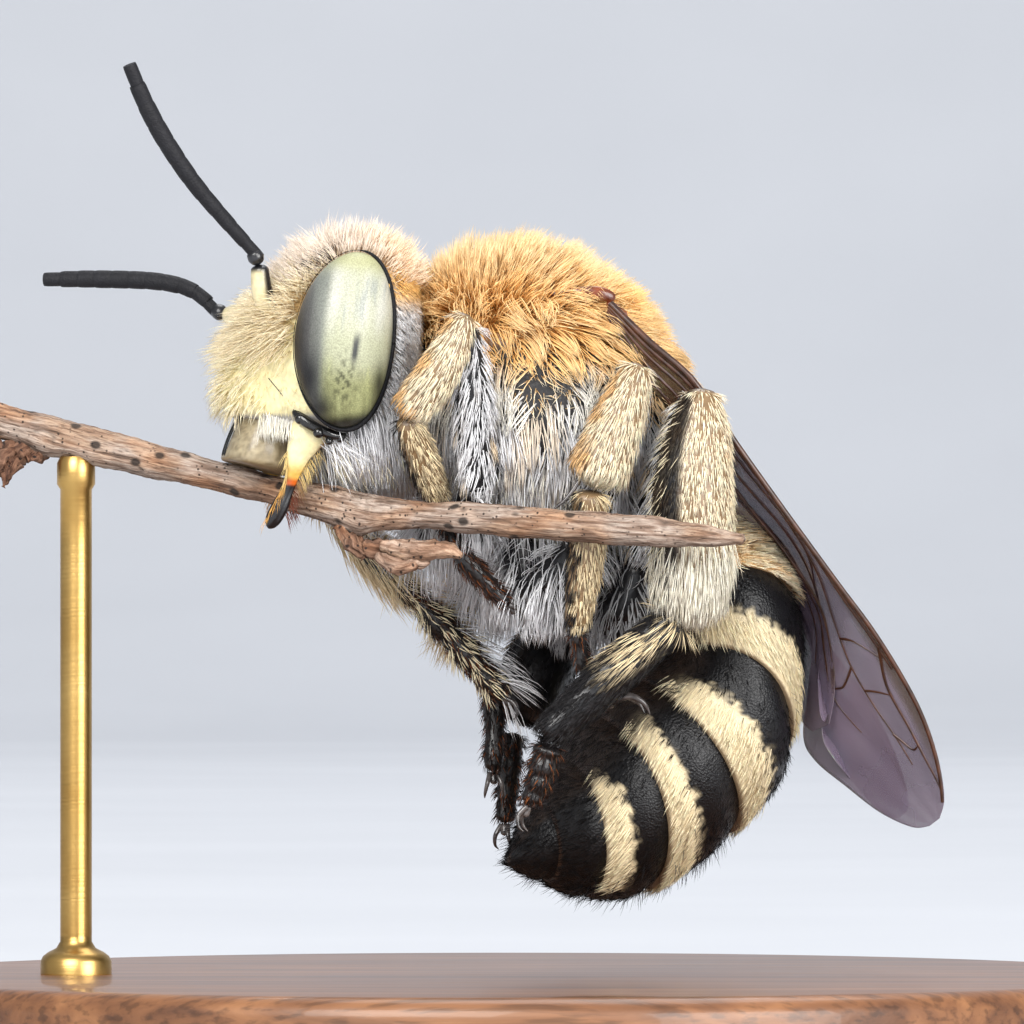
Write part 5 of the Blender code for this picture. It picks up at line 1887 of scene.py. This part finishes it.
    def grow_tibia(self, hair: Strands, surface: Surface, outer: Array) -> None:
        """Flat golden hair on the shin, with a white brush on the hind one.

        Args:
            hair: Where the hairs go.
            surface: The shin's surface.
            outer: How far each grid point faces outward, 0 to 1.
        """
        s = self.side.value
        long = np.linspace(0, 1, len(outer))[:, None]
        fullness = 1.0 if self.side is Side.LEFT else 0.8
        roots = surface.scatter(fullness * (110.0 + outer * 540.0) * ramp(long, 0.99, 0.95), hair.rng)
        p, n = roots.points, roots.normals
        shade = ramp(n[:, 1] * s, -0.45, 0.05)
        deep = 0.5 * ripple(p, 0.5, 95 + self.seed) + 1.2 * ramp(n[:, 0], -0.2, -0.9)
        gold = blend(paint(255, 240, 212), GOLD, ramp(deep, 0.5, 1.2) * 0.7)
        if self.name == "fore":
            gold = blend(gold, GOLD, ramp(roots.share, 0.8, 0.97) * ramp(n[:, 0], 0.3, -0.4))
        if self.name == "hind":
            gold = blend(gold, BAND_WHITE, ramp(roots.share, 0.55, 0.85) * 0.9)
            shade = shade * ramp(n[:, 0], -0.60, -0.38)
        gold = blend(SOOT * 1.2, gold, np.clip(shade + 0.05, 0, 1))
        length = 0.25 + (0.22 * ramp(roots.share, 0.7, 0.95) if self.name == "hind" else 0.06 * roots.share)
        base = gold * np.array([0.94, 0.88, 0.78])
        hair.grow(roots, roots.along, length, (17, 5), 0.020, base, gold * 1.05, segments=2, spread=0.08,
                  clump=0.18, lock=4)
        if self.name == "hind":
            brush = surface.scatter(ramp(long, 0.62, 0.85) * (0.35 + outer) * 380.0, hair.rng)
            hair.grow(brush, brush.along + DOWN * 0.4, 0.56, (22, 6), 0.021, BAND_WHITE * 0.8, BAND_WHITE,
                      segments=3, spread=0.16, clump=0.55, lock=10)
            front = ramp(surface.normals[..., 0], -0.45, -0.75) * ramp(long, 0.02, 0.1)
            edge = surface.scatter(front * 60.0, hair.rng)
            hair.grow(edge, edge.along + np.array([-0.5, 0, 0]), 0.34, (40, 26), 0.013, CREAM * 0.7, CREAM,
                      segments=3, spread=0.15, clump=0.2, lock=6)

    def grow_basitarsus(self, hair: Strands, surface: Surface, outer: Array) -> None:
        """Striped cream and black hair on the long foot joint.

        Args:
            hair: Where the hairs go.
            surface: The joint's surface.
            outer: How far each grid point faces outward, 0 to 1.
        """
        s = self.side.value
        roots = surface.scatter(150.0 + outer * 400.0, hair.rng)
        n = roots.normals
        rear = ramp(n[:, 0] + 0.35 * ripple(roots.points, 0.2, 97), -0.75, -0.35)
        pale = ramp(n[:, 1] * s, -0.45, 0.0) * rear
        streak = ramp(ripple(roots.points * np.array([1, 1, 0.6]), 0.10, 98), -0.5, 0.3)
        if self.name == "hind":
            pale = pale * ramp(roots.share, 0.62, 0.30) * ramp(n[:, 2], -0.5, 0.0) * streak
        else:
            pale = pale * (0.55 + 0.45 * streak)
        if self.side is Side.RIGHT:
            pale = np.maximum(pale, 0.85 * (self.name != "hind"))
        tone = blend(SOOT, blend(CREAM, STRAW, np.full(len(roots), 0.4)), pale)
        length = 0.25 + (0.26 * pale if self.name == "hind" or self.side is Side.RIGHT else 0)
        if self.name != "hind" and self.side is Side.RIGHT:
            length = length + 0.35 * ramp(roots.share, 0.1, 0.6)
        hair.grow(roots, roots.along, length, (20, 7), 0.020, tone * 0.92, tone * 1.04, segments=3,
                  spread=0.13, clump=0.35, lock=6)

    def nodes(self) -> list[str]:
        """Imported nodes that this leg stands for."""
        parts = ("femur", "tibia", "basitarsus", "tarsus")
        return ["%s_%s_%s" % (self.name, part, self.side.label) for part in parts]


# ---- wings ----------------------------------------------------------------------------------
class VeinTree(LineTree):
    """Geometry Nodes that give a line network a round thickness."""

    def __init__(self, name: str, material: Material) -> None:
        """Lay out the tree once.

        Args:
            name: Name of the node group.
            material: Finish of the veins.
        """
        super().__init__(name, {"Vein Radius": 0.00002})
        profile = self.add("GeometryNodeCurvePrimitiveCircle", "Curve",
                           {"Resolution": 8, "Radius": self.given["Vein Radius"]})
        veins = self.add("GeometryNodeCurveToMesh", "Mesh", {
            "Fill Caps": True, "Curve": self.curve, "Profile Curve": profile, "Scale": self.thickness})
        self.close(veins, material)


@dataclass
class Wing:
    """One wing: a thin cambered membrane with its veins."""

    kind: str
    side: Side
    finishes: Finishes
    veins_tree: VeinTree
    edge_rows: Rows
    vein_lines: Sequence[tuple[Sequence[tuple[float, float]], float]]
    thickness: float = 0.012
    vein_radius: float = 0.030

    def place(self, share: Array, across: Array, lift: Array | float = 0.0) -> Array:
        """Points on the membrane.

        Args:
            share: Place along the wing, 0 at its root and 1 at its tip.
            across: Place from the leading edge, 0, to the trailing edge, 1.
            lift: Height over the membrane.

        Returns:
            Points in the bee's frame.
        """
        last = 239
        rows = smooth_rows(self.edge_rows, last + 1)
        index = np.clip(share, 0, 1) * last
        low = np.minimum(index.astype(int), last - 1)
        part = (index - low)[..., None]
        row = rows[low] * (1 - part) + rows[low + 1] * part
        if self.side is Side.RIGHT:
            t = np.clip(share, 0, 1)
            sweep = vectors(0.16 * np.sin(t * math.pi), -1.65 * t ** 2, 0.16 * t ** 4)
            row = row + np.concatenate([sweep, sweep], -1)
        flip = np.array([1, self.side.value, 1])
        edge, chord = row[..., :3] * flip, (row[..., 3:6] - row[..., :3]) * flip
        axis = unit((rows[-1, :3] - rows[0, :3]) * flip)
        outer = unit(np.cross(axis, chord))
        outer = outer * np.sign(outer[..., :1] + 1e-9)
        arch = np.sin(np.clip(share, 0, 1) * math.pi)
        camber = 0.10 * np.sin(np.clip(across, 0, 1) * math.pi) * arch
        crease = 0.010 * np.sin(across * 23.0 + share * 9.0) * arch
        return edge + chord * across[..., None] + outer * (camber + crease + lift)[..., None]

    def build(self, node: str) -> None:
        """Make the membrane and veins.

        Args:
            node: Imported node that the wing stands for.
        """
        stations, half = 90, 36
        loop = np.concatenate([np.linspace(0, 1, half), np.linspace(1, 0, half)])
        lift = np.concatenate([np.full(half, 0.5), np.full(half, -0.5)]) * self.thickness
        share = np.broadcast_to(np.linspace(0.0, 1.0, stations)[:, None], (stations, 2 * half))
        loop, lift = np.broadcast_to(loop, share.shape), np.broadcast_to(lift, share.shape)
        rim = np.maximum(ramp(loop, 0.15, 0.07), ramp(share, 0.34, 0.16))
        tone = blend(paint(128, 114, 130), paint(92, 68, 54), rim * ramp(share, 0.92, 0.75))
        shape = Shape().add_grid(self.place(share, loop, lift), tone)
        shape.build("%s_membrane_%s" % (self.kind, self.side.label), self.finishes.wing, "wing", [node])
        lines = []
        for points, size in self.vein_lines:
            path = smooth_rows(points, 10 + 8 * len(points))
            taper = size * (1 - 0.45 * np.linspace(0, 1, len(path)))
            lines.append((to_world(self.place(path[:, 0], path[:, 1])), taper))
        name = "%s_veins_%s" % (self.kind, self.side.label)
        settle(self.veins_tree.run(name, lines, {"Vein Radius": self.vein_radius * MM}))


# Leading edge point, then trailing edge point, from the root to the tip.
FOREWING_EDGE = (
    (0.99, 2.00, 12.14, 0.94, 1.95, 11.95),
    (1.56, 2.28, 11.54, 1.35, 2.05, 11.16),
    (2.12, 2.42, 11.04, 1.89, 2.00, 10.56),
    (2.51, 2.48, 10.47, 2.46, 1.75, 9.90),
    (2.91, 2.50, 9.90, 3.19, 1.30, 9.18),
    (3.51, 2.48, 9.11, 4.20, 0.65, 8.27),
    (4.03, 2.42, 8.46, 4.69, 0.15, 7.36),
    (4.52, 2.34, 7.86, 4.66, 0.06, 6.36),
    (5.02, 2.26, 7.25, 4.58, 0.06, 5.60),
    (5.49, 2.14, 6.58, 4.75, 0.12, 5.22),
    (5.88, 2.02, 5.92, 5.13, 0.45, 4.84),
    (6.17, 1.90, 5.22, 5.56, 0.85, 4.44),
    (6.30, 1.78, 4.67, 5.95, 1.25, 4.22),
    (6.27, 1.64, 4.36, 6.16, 1.48, 4.24),
)
HINDWING_EDGE = (
    (1.70, 1.80, 11.00, 1.62, 1.70, 10.78),
    (2.35, 1.72, 10.30, 2.20, 1.45, 9.96),
    (3.10, 1.55, 9.32, 3.10, 0.95, 8.98),
    (3.90, 1.38, 8.42, 4.06, 0.52, 8.06),
    (4.48, 1.25, 7.62, 4.54, 0.18, 7.10),
    (4.72, 1.12, 6.90, 4.50, 0.12, 6.36),
    (4.80, 1.00, 6.28, 4.50, 0.20, 5.86),
    (4.76, 0.86, 5.78, 4.60, 0.50, 5.66),
)
FOREWING_VEINS = (
    (((0.0, 0.02), (0.3, 0.01), (0.6, 0.01), (0.80, 0.01), (0.93, 0.06)), 1.7),
    (((0.0, 0.25), (0.3, 0.10), (0.55, 0.07), (0.68, 0.05)), 1.35),
    (((0.0, 0.45), (0.2, 0.36), (0.38, 0.34), (0.42, 0.12)), 1.1),
    (((0.38, 0.34), (0.55, 0.36), (0.72, 0.36), (0.82, 0.34)), 0.9),
    (((0.64, 0.05), (0.70, 0.17), (0.82, 0.16), (0.91, 0.04)), 1.1),
    (((0.57, 0.36), (0.60, 0.22), (0.66, 0.08)), 0.8),
    (((0.67, 0.36), (0.69, 0.26), (0.71, 0.17)), 0.8),
    (((0.76, 0.36), (0.80, 0.26), (0.80, 0.16)), 0.8),
    (((0.0, 0.62), (0.3, 0.66), (0.5, 0.66), (0.62, 0.62)), 1.0),
    (((0.40, 0.34), (0.44, 0.50), (0.46, 0.66)), 0.8),
    (((0.62, 0.36), (0.63, 0.50), (0.62, 0.62), (0.72, 0.58)), 0.8),
    (((0.0, 0.85), (0.25, 0.90), (0.45, 0.92)), 0.9),
)
HINDWING_VEINS = (
    (((0.0, 0.02), (0.4, 0.02), (0.75, 0.03)), 1.1),
    (((0.0, 0.4), (0.3, 0.34), (0.55, 0.30), (0.8, 0.20)), 0.8),
    (((0.35, 0.33), (0.5, 0.55), (0.7, 0.60)), 0.7),
)


# ---- twig and stand -------------------------------------------------------------------------
@dataclass
class Twig:
    """Dry twig with long ridges, a knot, a side bud and a curled flap of bark."""

    finishes: Finishes
    rows: Rows = (
        (-9.10, 0.62, 10.80, 0.26),
        (-7.76, 0.18, 10.38, 0.26),
        (-7.00, -0.04, 10.20, 0.265),
        (-6.24, -0.25, 9.97, 0.28),
        (-5.48, -0.44, 9.79, 0.26),
        (-4.72, -0.61, 9.62, 0.225),
        (-3.96, -0.78, 9.42, 0.23),
        (-3.43, -0.94, 9.28, 0.23),
        (-2.74, -1.28, 9.12, 0.27),
        (-2.13, -1.60, 8.99, 0.27),
        (-1.37, -1.95, 8.95, 0.215),
        (-0.60, -2.34, 8.91, 0.225),
        (0.72, -2.88, 8.81, 0.24),
        (2.20, -3.36, 8.70, 0.215),
        (2.85, -3.54, 8.65, 0.17),
        (3.47, -3.72, 8.59, 0.10),
    )
    bud_scales: Rows = ((-7.90, 9.98, 0.13, 0.20), (-7.66, 9.86, 0.17, 0.24), (-7.40, 9.90, 0.15, 0.14),
                        (-7.18, 9.88, 0.12, 0.05), (-7.52, 9.78, 0.12, 0.24), (-7.78, 9.84, 0.11, 0.30))
    splinters: Sequence[tuple[Rows, Colour]] = (
        (((-2.36, -1.54, 8.72, 0.17), (-2.30, -1.58, 8.52, 0.15), (-2.16, -1.62, 8.34, 0.10)),
         (0.62, 0.50, 0.44)),
        (((-2.58, -1.44, 8.84, 0.10), (-2.46, -1.48, 8.64, 0.10), (-2.28, -1.54, 8.50, 0.05)),
         (0.74, 0.62, 0.55)),
        (((-2.24, -1.60, 8.50, 0.10), (-2.02, -1.66, 8.44, 0.09), (-1.80, -1.74, 8.46, 0.07)),
         (0.60, 0.48, 0.42)),
    )
    curls: Sequence[tuple[Rows, int, int, Colour]] = (
        (((-1.98, -1.74, 8.50, 0.07), (-1.70, -1.84, 8.44, 0.15), (-1.34, -1.96, 8.42, 0.16),
          (-1.00, -2.04, 8.42, 0.14), (-0.74, -2.10, 8.33, 0.07)), 4, 34, (1.12, 1.04, 0.98)),
        (((-2.04, -1.74, 8.36, 0.07), (-1.84, -1.82, 8.26, 0.15), (-1.58, -1.90, 8.22, 0.15),
          (-1.34, -1.96, 8.30, 0.06)), 20, 50, (0.84, 0.72, 0.64)),
        (((-1.56, -1.90, 8.34, 0.05), (-1.40, -1.94, 8.24, 0.09), (-1.22, -1.96, 8.24, 0.04)), 8, 40,
         (0.94, 0.84, 0.76)),
    )

    @staticmethod
    def grain_of(grid: Array) -> Array:
        """Straightened place of each grid point: length along, then the two ways across."""
        middle = grid.mean(1)
        along = np.concatenate([[0], np.cumsum(np.linalg.norm(np.diff(middle, axis=0), axis=1))])
        radius = np.linalg.norm(grid - middle[:, None], axis=-1)
        turn = np.linspace(0, TURN, grid.shape[1], endpoint=False) + 0.05 * along[:, None]
        return vectors(along[:, None], radius * np.cos(turn), radius * np.sin(turn))

    def weathered(self, grid: Array, depth: float, seed: int) -> tuple[Array, Array, Array]:
        """Long fibres, shallow cracks and pocks pressed into a smooth stick, with painted shade.

        Args:
            grid: The smooth stick.
            depth: Depth of the relief, in millimetres.
            seed: Chooses the pattern.

        Returns:
            The rough grid, its tone with the painted shade, and its grain place.
        """
        grain = self.grain_of(grid)
        fibre = grain * np.array([0.10, 1.0, 1.0])
        long = grain * np.array([0.16, 1.0, 1.0])
        crack = spot(2, (ripple(long, 0.22, seed + 4), 0, 0.10))
        crack = crack * ramp(ripple(grain, 0.9, seed + 5), -0.5, 0.4)
        relief = ripple(fibre, 0.14, seed) * 0.5 + ripple(fibre, 0.06, seed + 1) * 0.25
        relief += ripple(grain, 0.16, seed + 2) * 0.22 + ripple(grain, 1.1, seed + 3) * 0.7
        out = unit(grid - grid.mean(1, keepdims=True))
        rough = grid + out * ((relief - crack * 0.8) * depth)[..., None]
        worn = ramp(ripple(grain * np.array([0.5, 1, 1]), 0.7, seed + 6), 0.0, 0.8)
        # Painted shade: darker in the cracks and in the low places of the relief.
        shade = 1.0 - 0.42 * crack - 0.10 * ramp(relief, 0.1, -0.6)
        tone = shade[..., None] * blend(np.ones(3), np.array([1.0, 0.84, 0.70]), worn)
        # Painted shade: darker on the underside.
        under = ramp(out[..., 2], -0.2, -0.9)
        return rough, tone * (1 - 0.30 * under[..., None]), grain

    @staticmethod
    def curl(rows: Rows, first: int, last: int, wall: float) -> Array:
        """Peeled bark: part of a tube's wall along a line.

        Args:
            rows: Middle line with radii.
            first: Where the wall starts round the tube, in steps.
            last: Where it ends.
            wall: Thickness of the wall as a share of the radius.

        Returns:
            Grid of closed rings.
        """
        steps = 48
        tube = tube_grid(rows, 50, steps)
        middle = tube.mean(1, keepdims=True)
        turn = np.arange(first, last) % steps
        ragged = 1 + 0.10 * ripple(tube[:, turn], 0.16, 90 + first)[..., None]
        outer = middle + (tube[:, turn] - middle) * ragged
        inner = middle + (outer - middle) * (1 - wall)
        return np.concatenate([outer, inner[:, ::-1]], 1)

    def add(self, shape: Shape, grains: list[Array], grid: Array, depth: float, seed: int,
            tint: Colour = (1.0, 1.0, 1.0)) -> None:
        """Append one rough stick to a shape, and keep its grain.

        Args:
            shape: Where it goes.
            grains: Where its grain place goes.
            grid: The smooth stick.
            depth: Depth of the relief, in millimetres.
            seed: Chooses the pattern.
            tint: Colour that its tone is multiplied by.
        """
        rough, tone, grain = self.weathered(grid, depth, seed)
        shape.add_grid(rough, tone * np.array(tint))
        grains += [grain.reshape(-1, 3), grain[0].mean(0)[None], grain[-1].mean(0)[None]]

    def finish(self, name: str, shape: Shape, grains: list[Array], node: str) -> None:
        """Make one piece of bark."""
        shape.build(name, self.finishes.bark, "bark", [node], bee=False, grain=np.concatenate(grains))

    def build(self) -> None:
        """Make the twig, its bud and its flap."""
        grid = tube_grid(self.rows, 420, 60, round_start=0.35, round_end=0.5)
        knot = spot(2, (grid[..., 0], -2.35, 0.22)) * ramp(grid[..., 2], 8.95, 8.75)
        bulge = spot(2, (grid[..., 0], -7.2, 0.4)) * ramp(grid[..., 2], 10.2, 9.95)
        grid[..., 2] -= 0.10 * knot + 0.10 * bulge
        twig, grains = Shape(), []
        self.add(twig, grains, grid, 0.022, 50)
        self.finish("twig_bark", twig, grains, "twig")
        bud, grains = Shape(), []
        for x, z, r, drop in self.bud_scales:
            rows = [(x + r * 1.3, 0.02, z + 0.10, r * 0.5), (x, 0.02, z, r),
                    (x - r * 0.8, -0.02, z - drop, r * 0.7), (x - r * 1.5, -0.04, z - drop * 1.7, r * 0.15)]
            self.add(bud, grains, tube_grid(rows, 40, 22, 1, 1, 1), 0.10, 57, (0.44, 0.33, 0.28))
        self.finish("twig_bud_scales", bud, grains, "twig_bud")
        flap, grains = Shape(), []
        for rows, tint in self.splinters:
            self.add(flap, grains, tube_grid(rows, 44, 28, 1, 1, 1), 0.09, 61 + len(grains), tint)
        for rows, first, last, tint in self.curls:
            self.add(flap, grains, self.curl(rows, first, last, 0.22), 0.022, 61 + len(grains), tint)
        self.finish("twig_peeled_flap", flap, grains, "twig_bark_flap")


@dataclass
class Stand:
    """Turned wooden base and brass rod."""

    finishes: Finishes
    radius: float = 10.0
    thickness: float = 2.0
    rod_x: float = -6.60
    rod_y: float = -0.16
    rod_radius: float = 0.24
    rod_top: float = 9.84

    collar: Rows = ((0.30, 0.0), (0.30, 0.20), (0.26, 0.28), (0.18, 0.34), (0.06, 0.40), (0.0, 0.50))

    @staticmethod
    def turned(name: str, profile: Rows, centre: tuple[float, float], sides: int, material: Material,
               slot: str, node: str) -> None:
        """Make one turned piece.

        Args:
            name: Object name.
            profile: Radius and height pairs from the bottom to the top.
            centre: X and Y of the axis.
            sides: Points round the axis.
            material: Its finish.
            slot: Material slot of the record.
            node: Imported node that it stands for.
        """
        radius, height = np.array(profile).T
        grid = ring_grid(vectors(*centre, height), vectors(radius, 0, 0), vectors(0, radius, 0), sides)
        piece = Shape().add_grid(grid, (1, 1, 1)).build(name, material, slot, [node], bee=False)
        piece.data.set_sharp_from_angle(angle=math.radians(40))

    @staticmethod
    def rounded(radius: float, low: float, high: float, bevel: float, steps: int = 10) -> Rows:
        """Profile of a disc with both edges rounded.

        Args:
            radius: Radius of the disc.
            low: Height of its underside.
            high: Height of its top.
            bevel: Radius of both edges.
            steps: Points round an edge.

        Returns:
            Radius and height pairs from the bottom to the top.
        """
        arc = np.linspace(0, 0.5 * math.pi, steps)
        lower = [(radius - bevel + bevel * math.sin(a), low + bevel - bevel * math.cos(a)) for a in arc]
        upper = [(radius - bevel + bevel * math.cos(a), high - bevel + bevel * math.sin(a)) for a in arc]
        inner = [(radius * share, low) for share in (0.02, 0.5)]
        return inner + lower + upper + [(radius * share, high) for share in (0.5, 0.02)]

    def build(self) -> None:
        """Make the base and the rod."""
        profile = self.rounded(self.radius, 0.0, self.thickness, 0.32)
        self.turned("turned_base", profile, (0, 0), 200, self.finishes.wood, "stand_wood", "stand_base")
        r, low, top = self.rod_radius, self.thickness, self.rod_top
        profile = [(0.02, low)] + [(r + wider, low + rise) for wider, rise in self.collar]
        profile += [(r, low + 0.6 + 0.1 * k) for k in range(60)]
        profile += [(r, top - 0.5), (r + 0.05, top - 0.42), (r + 0.05, top - 0.1), (r, top), (0.02, top)]
        self.turned("brass_rod", profile, (self.rod_x, self.rod_y), 64, self.finishes.brass, "stand_brass",
                    "stand_rod")


# ---- studio ---------------------------------------------------------------------------------
@dataclass
class Studio:
    """Pale cove, soft lights and the camera."""

    finishes: Finishes
    distance: float = 0.200
    height: float = 0.009
    view_width: float = 15.515151515151516 * MM
    sensor: float = 36.0
    cove_start: float = 0.32
    cove_bend: float = 0.16
    cove_top: float = 1.2
    cove_half: float = 1.4

    def build_floor(self) -> None:
        """Floor that curves up into a backdrop."""
        start, bend, steps = self.cove_start, self.cove_bend, 24
        profile = [(-1.0, 0.0), (start, 0.0)]
        for step in range(1, steps + 1):
            angle = 0.5 * math.pi * step / steps
            profile.append((start + bend * math.sin(angle), bend * (1 - math.cos(angle))))
        profile.append((start + bend, self.cove_top))
        points = [(x, y, z) for y, z in profile for x in (-self.cove_half, self.cove_half)]
        faces = [(2 * i, 2 * i + 1, 2 * i + 3, 2 * i + 2) for i in range(len(profile) - 1)]
        mesh = bpy.data.meshes.new("cove")
        mesh.from_pydata(points, [], faces)
        mesh.shade_smooth()
        mesh.materials.append(self.finishes.floor)
        cove = show("cove", mesh)

    def add_light(self, name: str, place: Sequence[float], size: float, power: float,
                  colour: Colour = (1.0, 1.0, 1.0), target: Sequence[float] = (0.0, 0.0, 0.009)) -> None:
        """One soft square light, aimed at the bee unless told otherwise.

        Args:
            name: Object name.
            place: Where it stands, in metres.
            size: Width of the square.
            power: Power in watts.
            colour: Colour of the light.
            target: Point that it faces.
        """
        data = bpy.data.lights.new(name, "AREA")
        data.shape = "SQUARE"
        data.size = size
        data.energy = power
        data.color = colour
        light = show(name, data)
        light.location = place
        aim = Vector(target) - Vector(place)
        light.rotation_euler = aim.to_track_quat("-Z", "Y").to_euler()

    def build(self) -> None:
        """Make floor, lights, world and camera."""
        self.build_floor()
        self.add_light("key", (-0.06, -0.17, 0.11), 0.12, 0.48, (1.0, 0.985, 0.96))
        self.add_light("fill", (0.13, -0.15, 0.05), 0.12, 0.44, (1.0, 0.985, 0.97))
        self.add_light("top", (0.02, 0.06, 0.19), 0.12, 0.16)
        self.add_light("backdrop", (0.0, 0.20, 0.25), 0.12, 0.42, target=(0.0, 0.38, 0.02))
        world = bpy.data.worlds.new("studio")
        world.use_nodes = True
        sky = world.node_tree.nodes["Background"].inputs
        sky["Color"].default_value = (0.94, 0.96, 1.0, 1.0)
        sky["Strength"].default_value = 0.50
        scene = bpy.context.scene
        scene.world = world
        scene.view_settings.view_transform = "Standard"
        data = bpy.data.cameras.new("camera")
        data.sensor_width = self.sensor
        data.lens = self.sensor * self.distance / self.view_width
        data.clip_start = 0.01
        data.clip_end = 5.0
        camera = show("camera", data)
        camera.location = (0.0, -self.distance, self.height)
        camera.rotation_euler = (math.radians(90), 0.0, 0.0)
        scene.camera = camera


# ---- the whole model ------------------------------------------------------------------------
def build_wings(finishes: Finishes) -> None:
    """Both pairs of wings."""
    tree = VeinTree("wing_veins", finishes.vein)
    for side in Side:
        for kind, edge, veins in (("forewing", FOREWING_EDGE, FOREWING_VEINS),
                                  ("hindwing", HINDWING_EDGE, HINDWING_VEINS)):
            Wing(kind, side, finishes, tree, edge, veins).build(kind + "_" + side.label)


def build_body(finishes: Finishes) -> None:
    """One skin over head, thorax and legs, then what is on it.

    Args:
        finishes: Every finish.
    """
    head, thorax = Head(finishes), Thorax(finishes)
    head_skin, thorax_skin = head.skin(), thorax.skin()
    skin = Shape()
    skin.add_grid(head_skin.points, head.skin_colour(head_skin.points))
    skin.add_grid(thorax_skin.points, thorax.skin_colour(thorax_skin.points))
    for rows in (((-2.0, 0.0, 11.1, 0.55), (-1.6, 0.0, 11.15, 0.5), (-1.1, 0.0, 11.2, 0.7)),
                 ((2.2, 0.0, 9.4, 0.55), (2.55, 0.0, 8.95, 0.42), (2.85, 0.0, 8.5, 0.6))):
        skin.add_grid(tube_grid(rows, 24, 40), BLACK)
    nodes = ["head", "thorax"]
    legs = [Leg(name, side, finishes, 7 * number + side.value)
            for number, name in enumerate(LEG_LINES) for side in Side]
    for leg in legs:
        surfaces = leg.surfaces()
        leg.add_skin(skin, surfaces)
        leg.build_coat(surfaces)
        leg.build_claws()
        nodes += leg.nodes()
    skin.build("body_skin", finishes.shell, "coat", nodes)
    head.build_eyes()
    head.build_trim(head_skin)
    head.build_lip()
    head.build_jaws()
    head.build_coat(head_skin)
    head.build_fringes()
    Feelers(finishes).build()
    thorax.build_tegulae()
    thorax.build_coat(thorax_skin)


def main() -> None:
    """Build every sub-assembly in order."""
    logging.basicConfig(level=logging.INFO, format="%(name)s %(message)s")
    finishes = Finishes()
    build_body(finishes)
    Abdomen(finishes).build()
    build_wings(finishes)
    Twig(finishes).build()
    Stand(finishes).build()
    Studio(finishes).build()


if __name__ == "__main__":
    main()
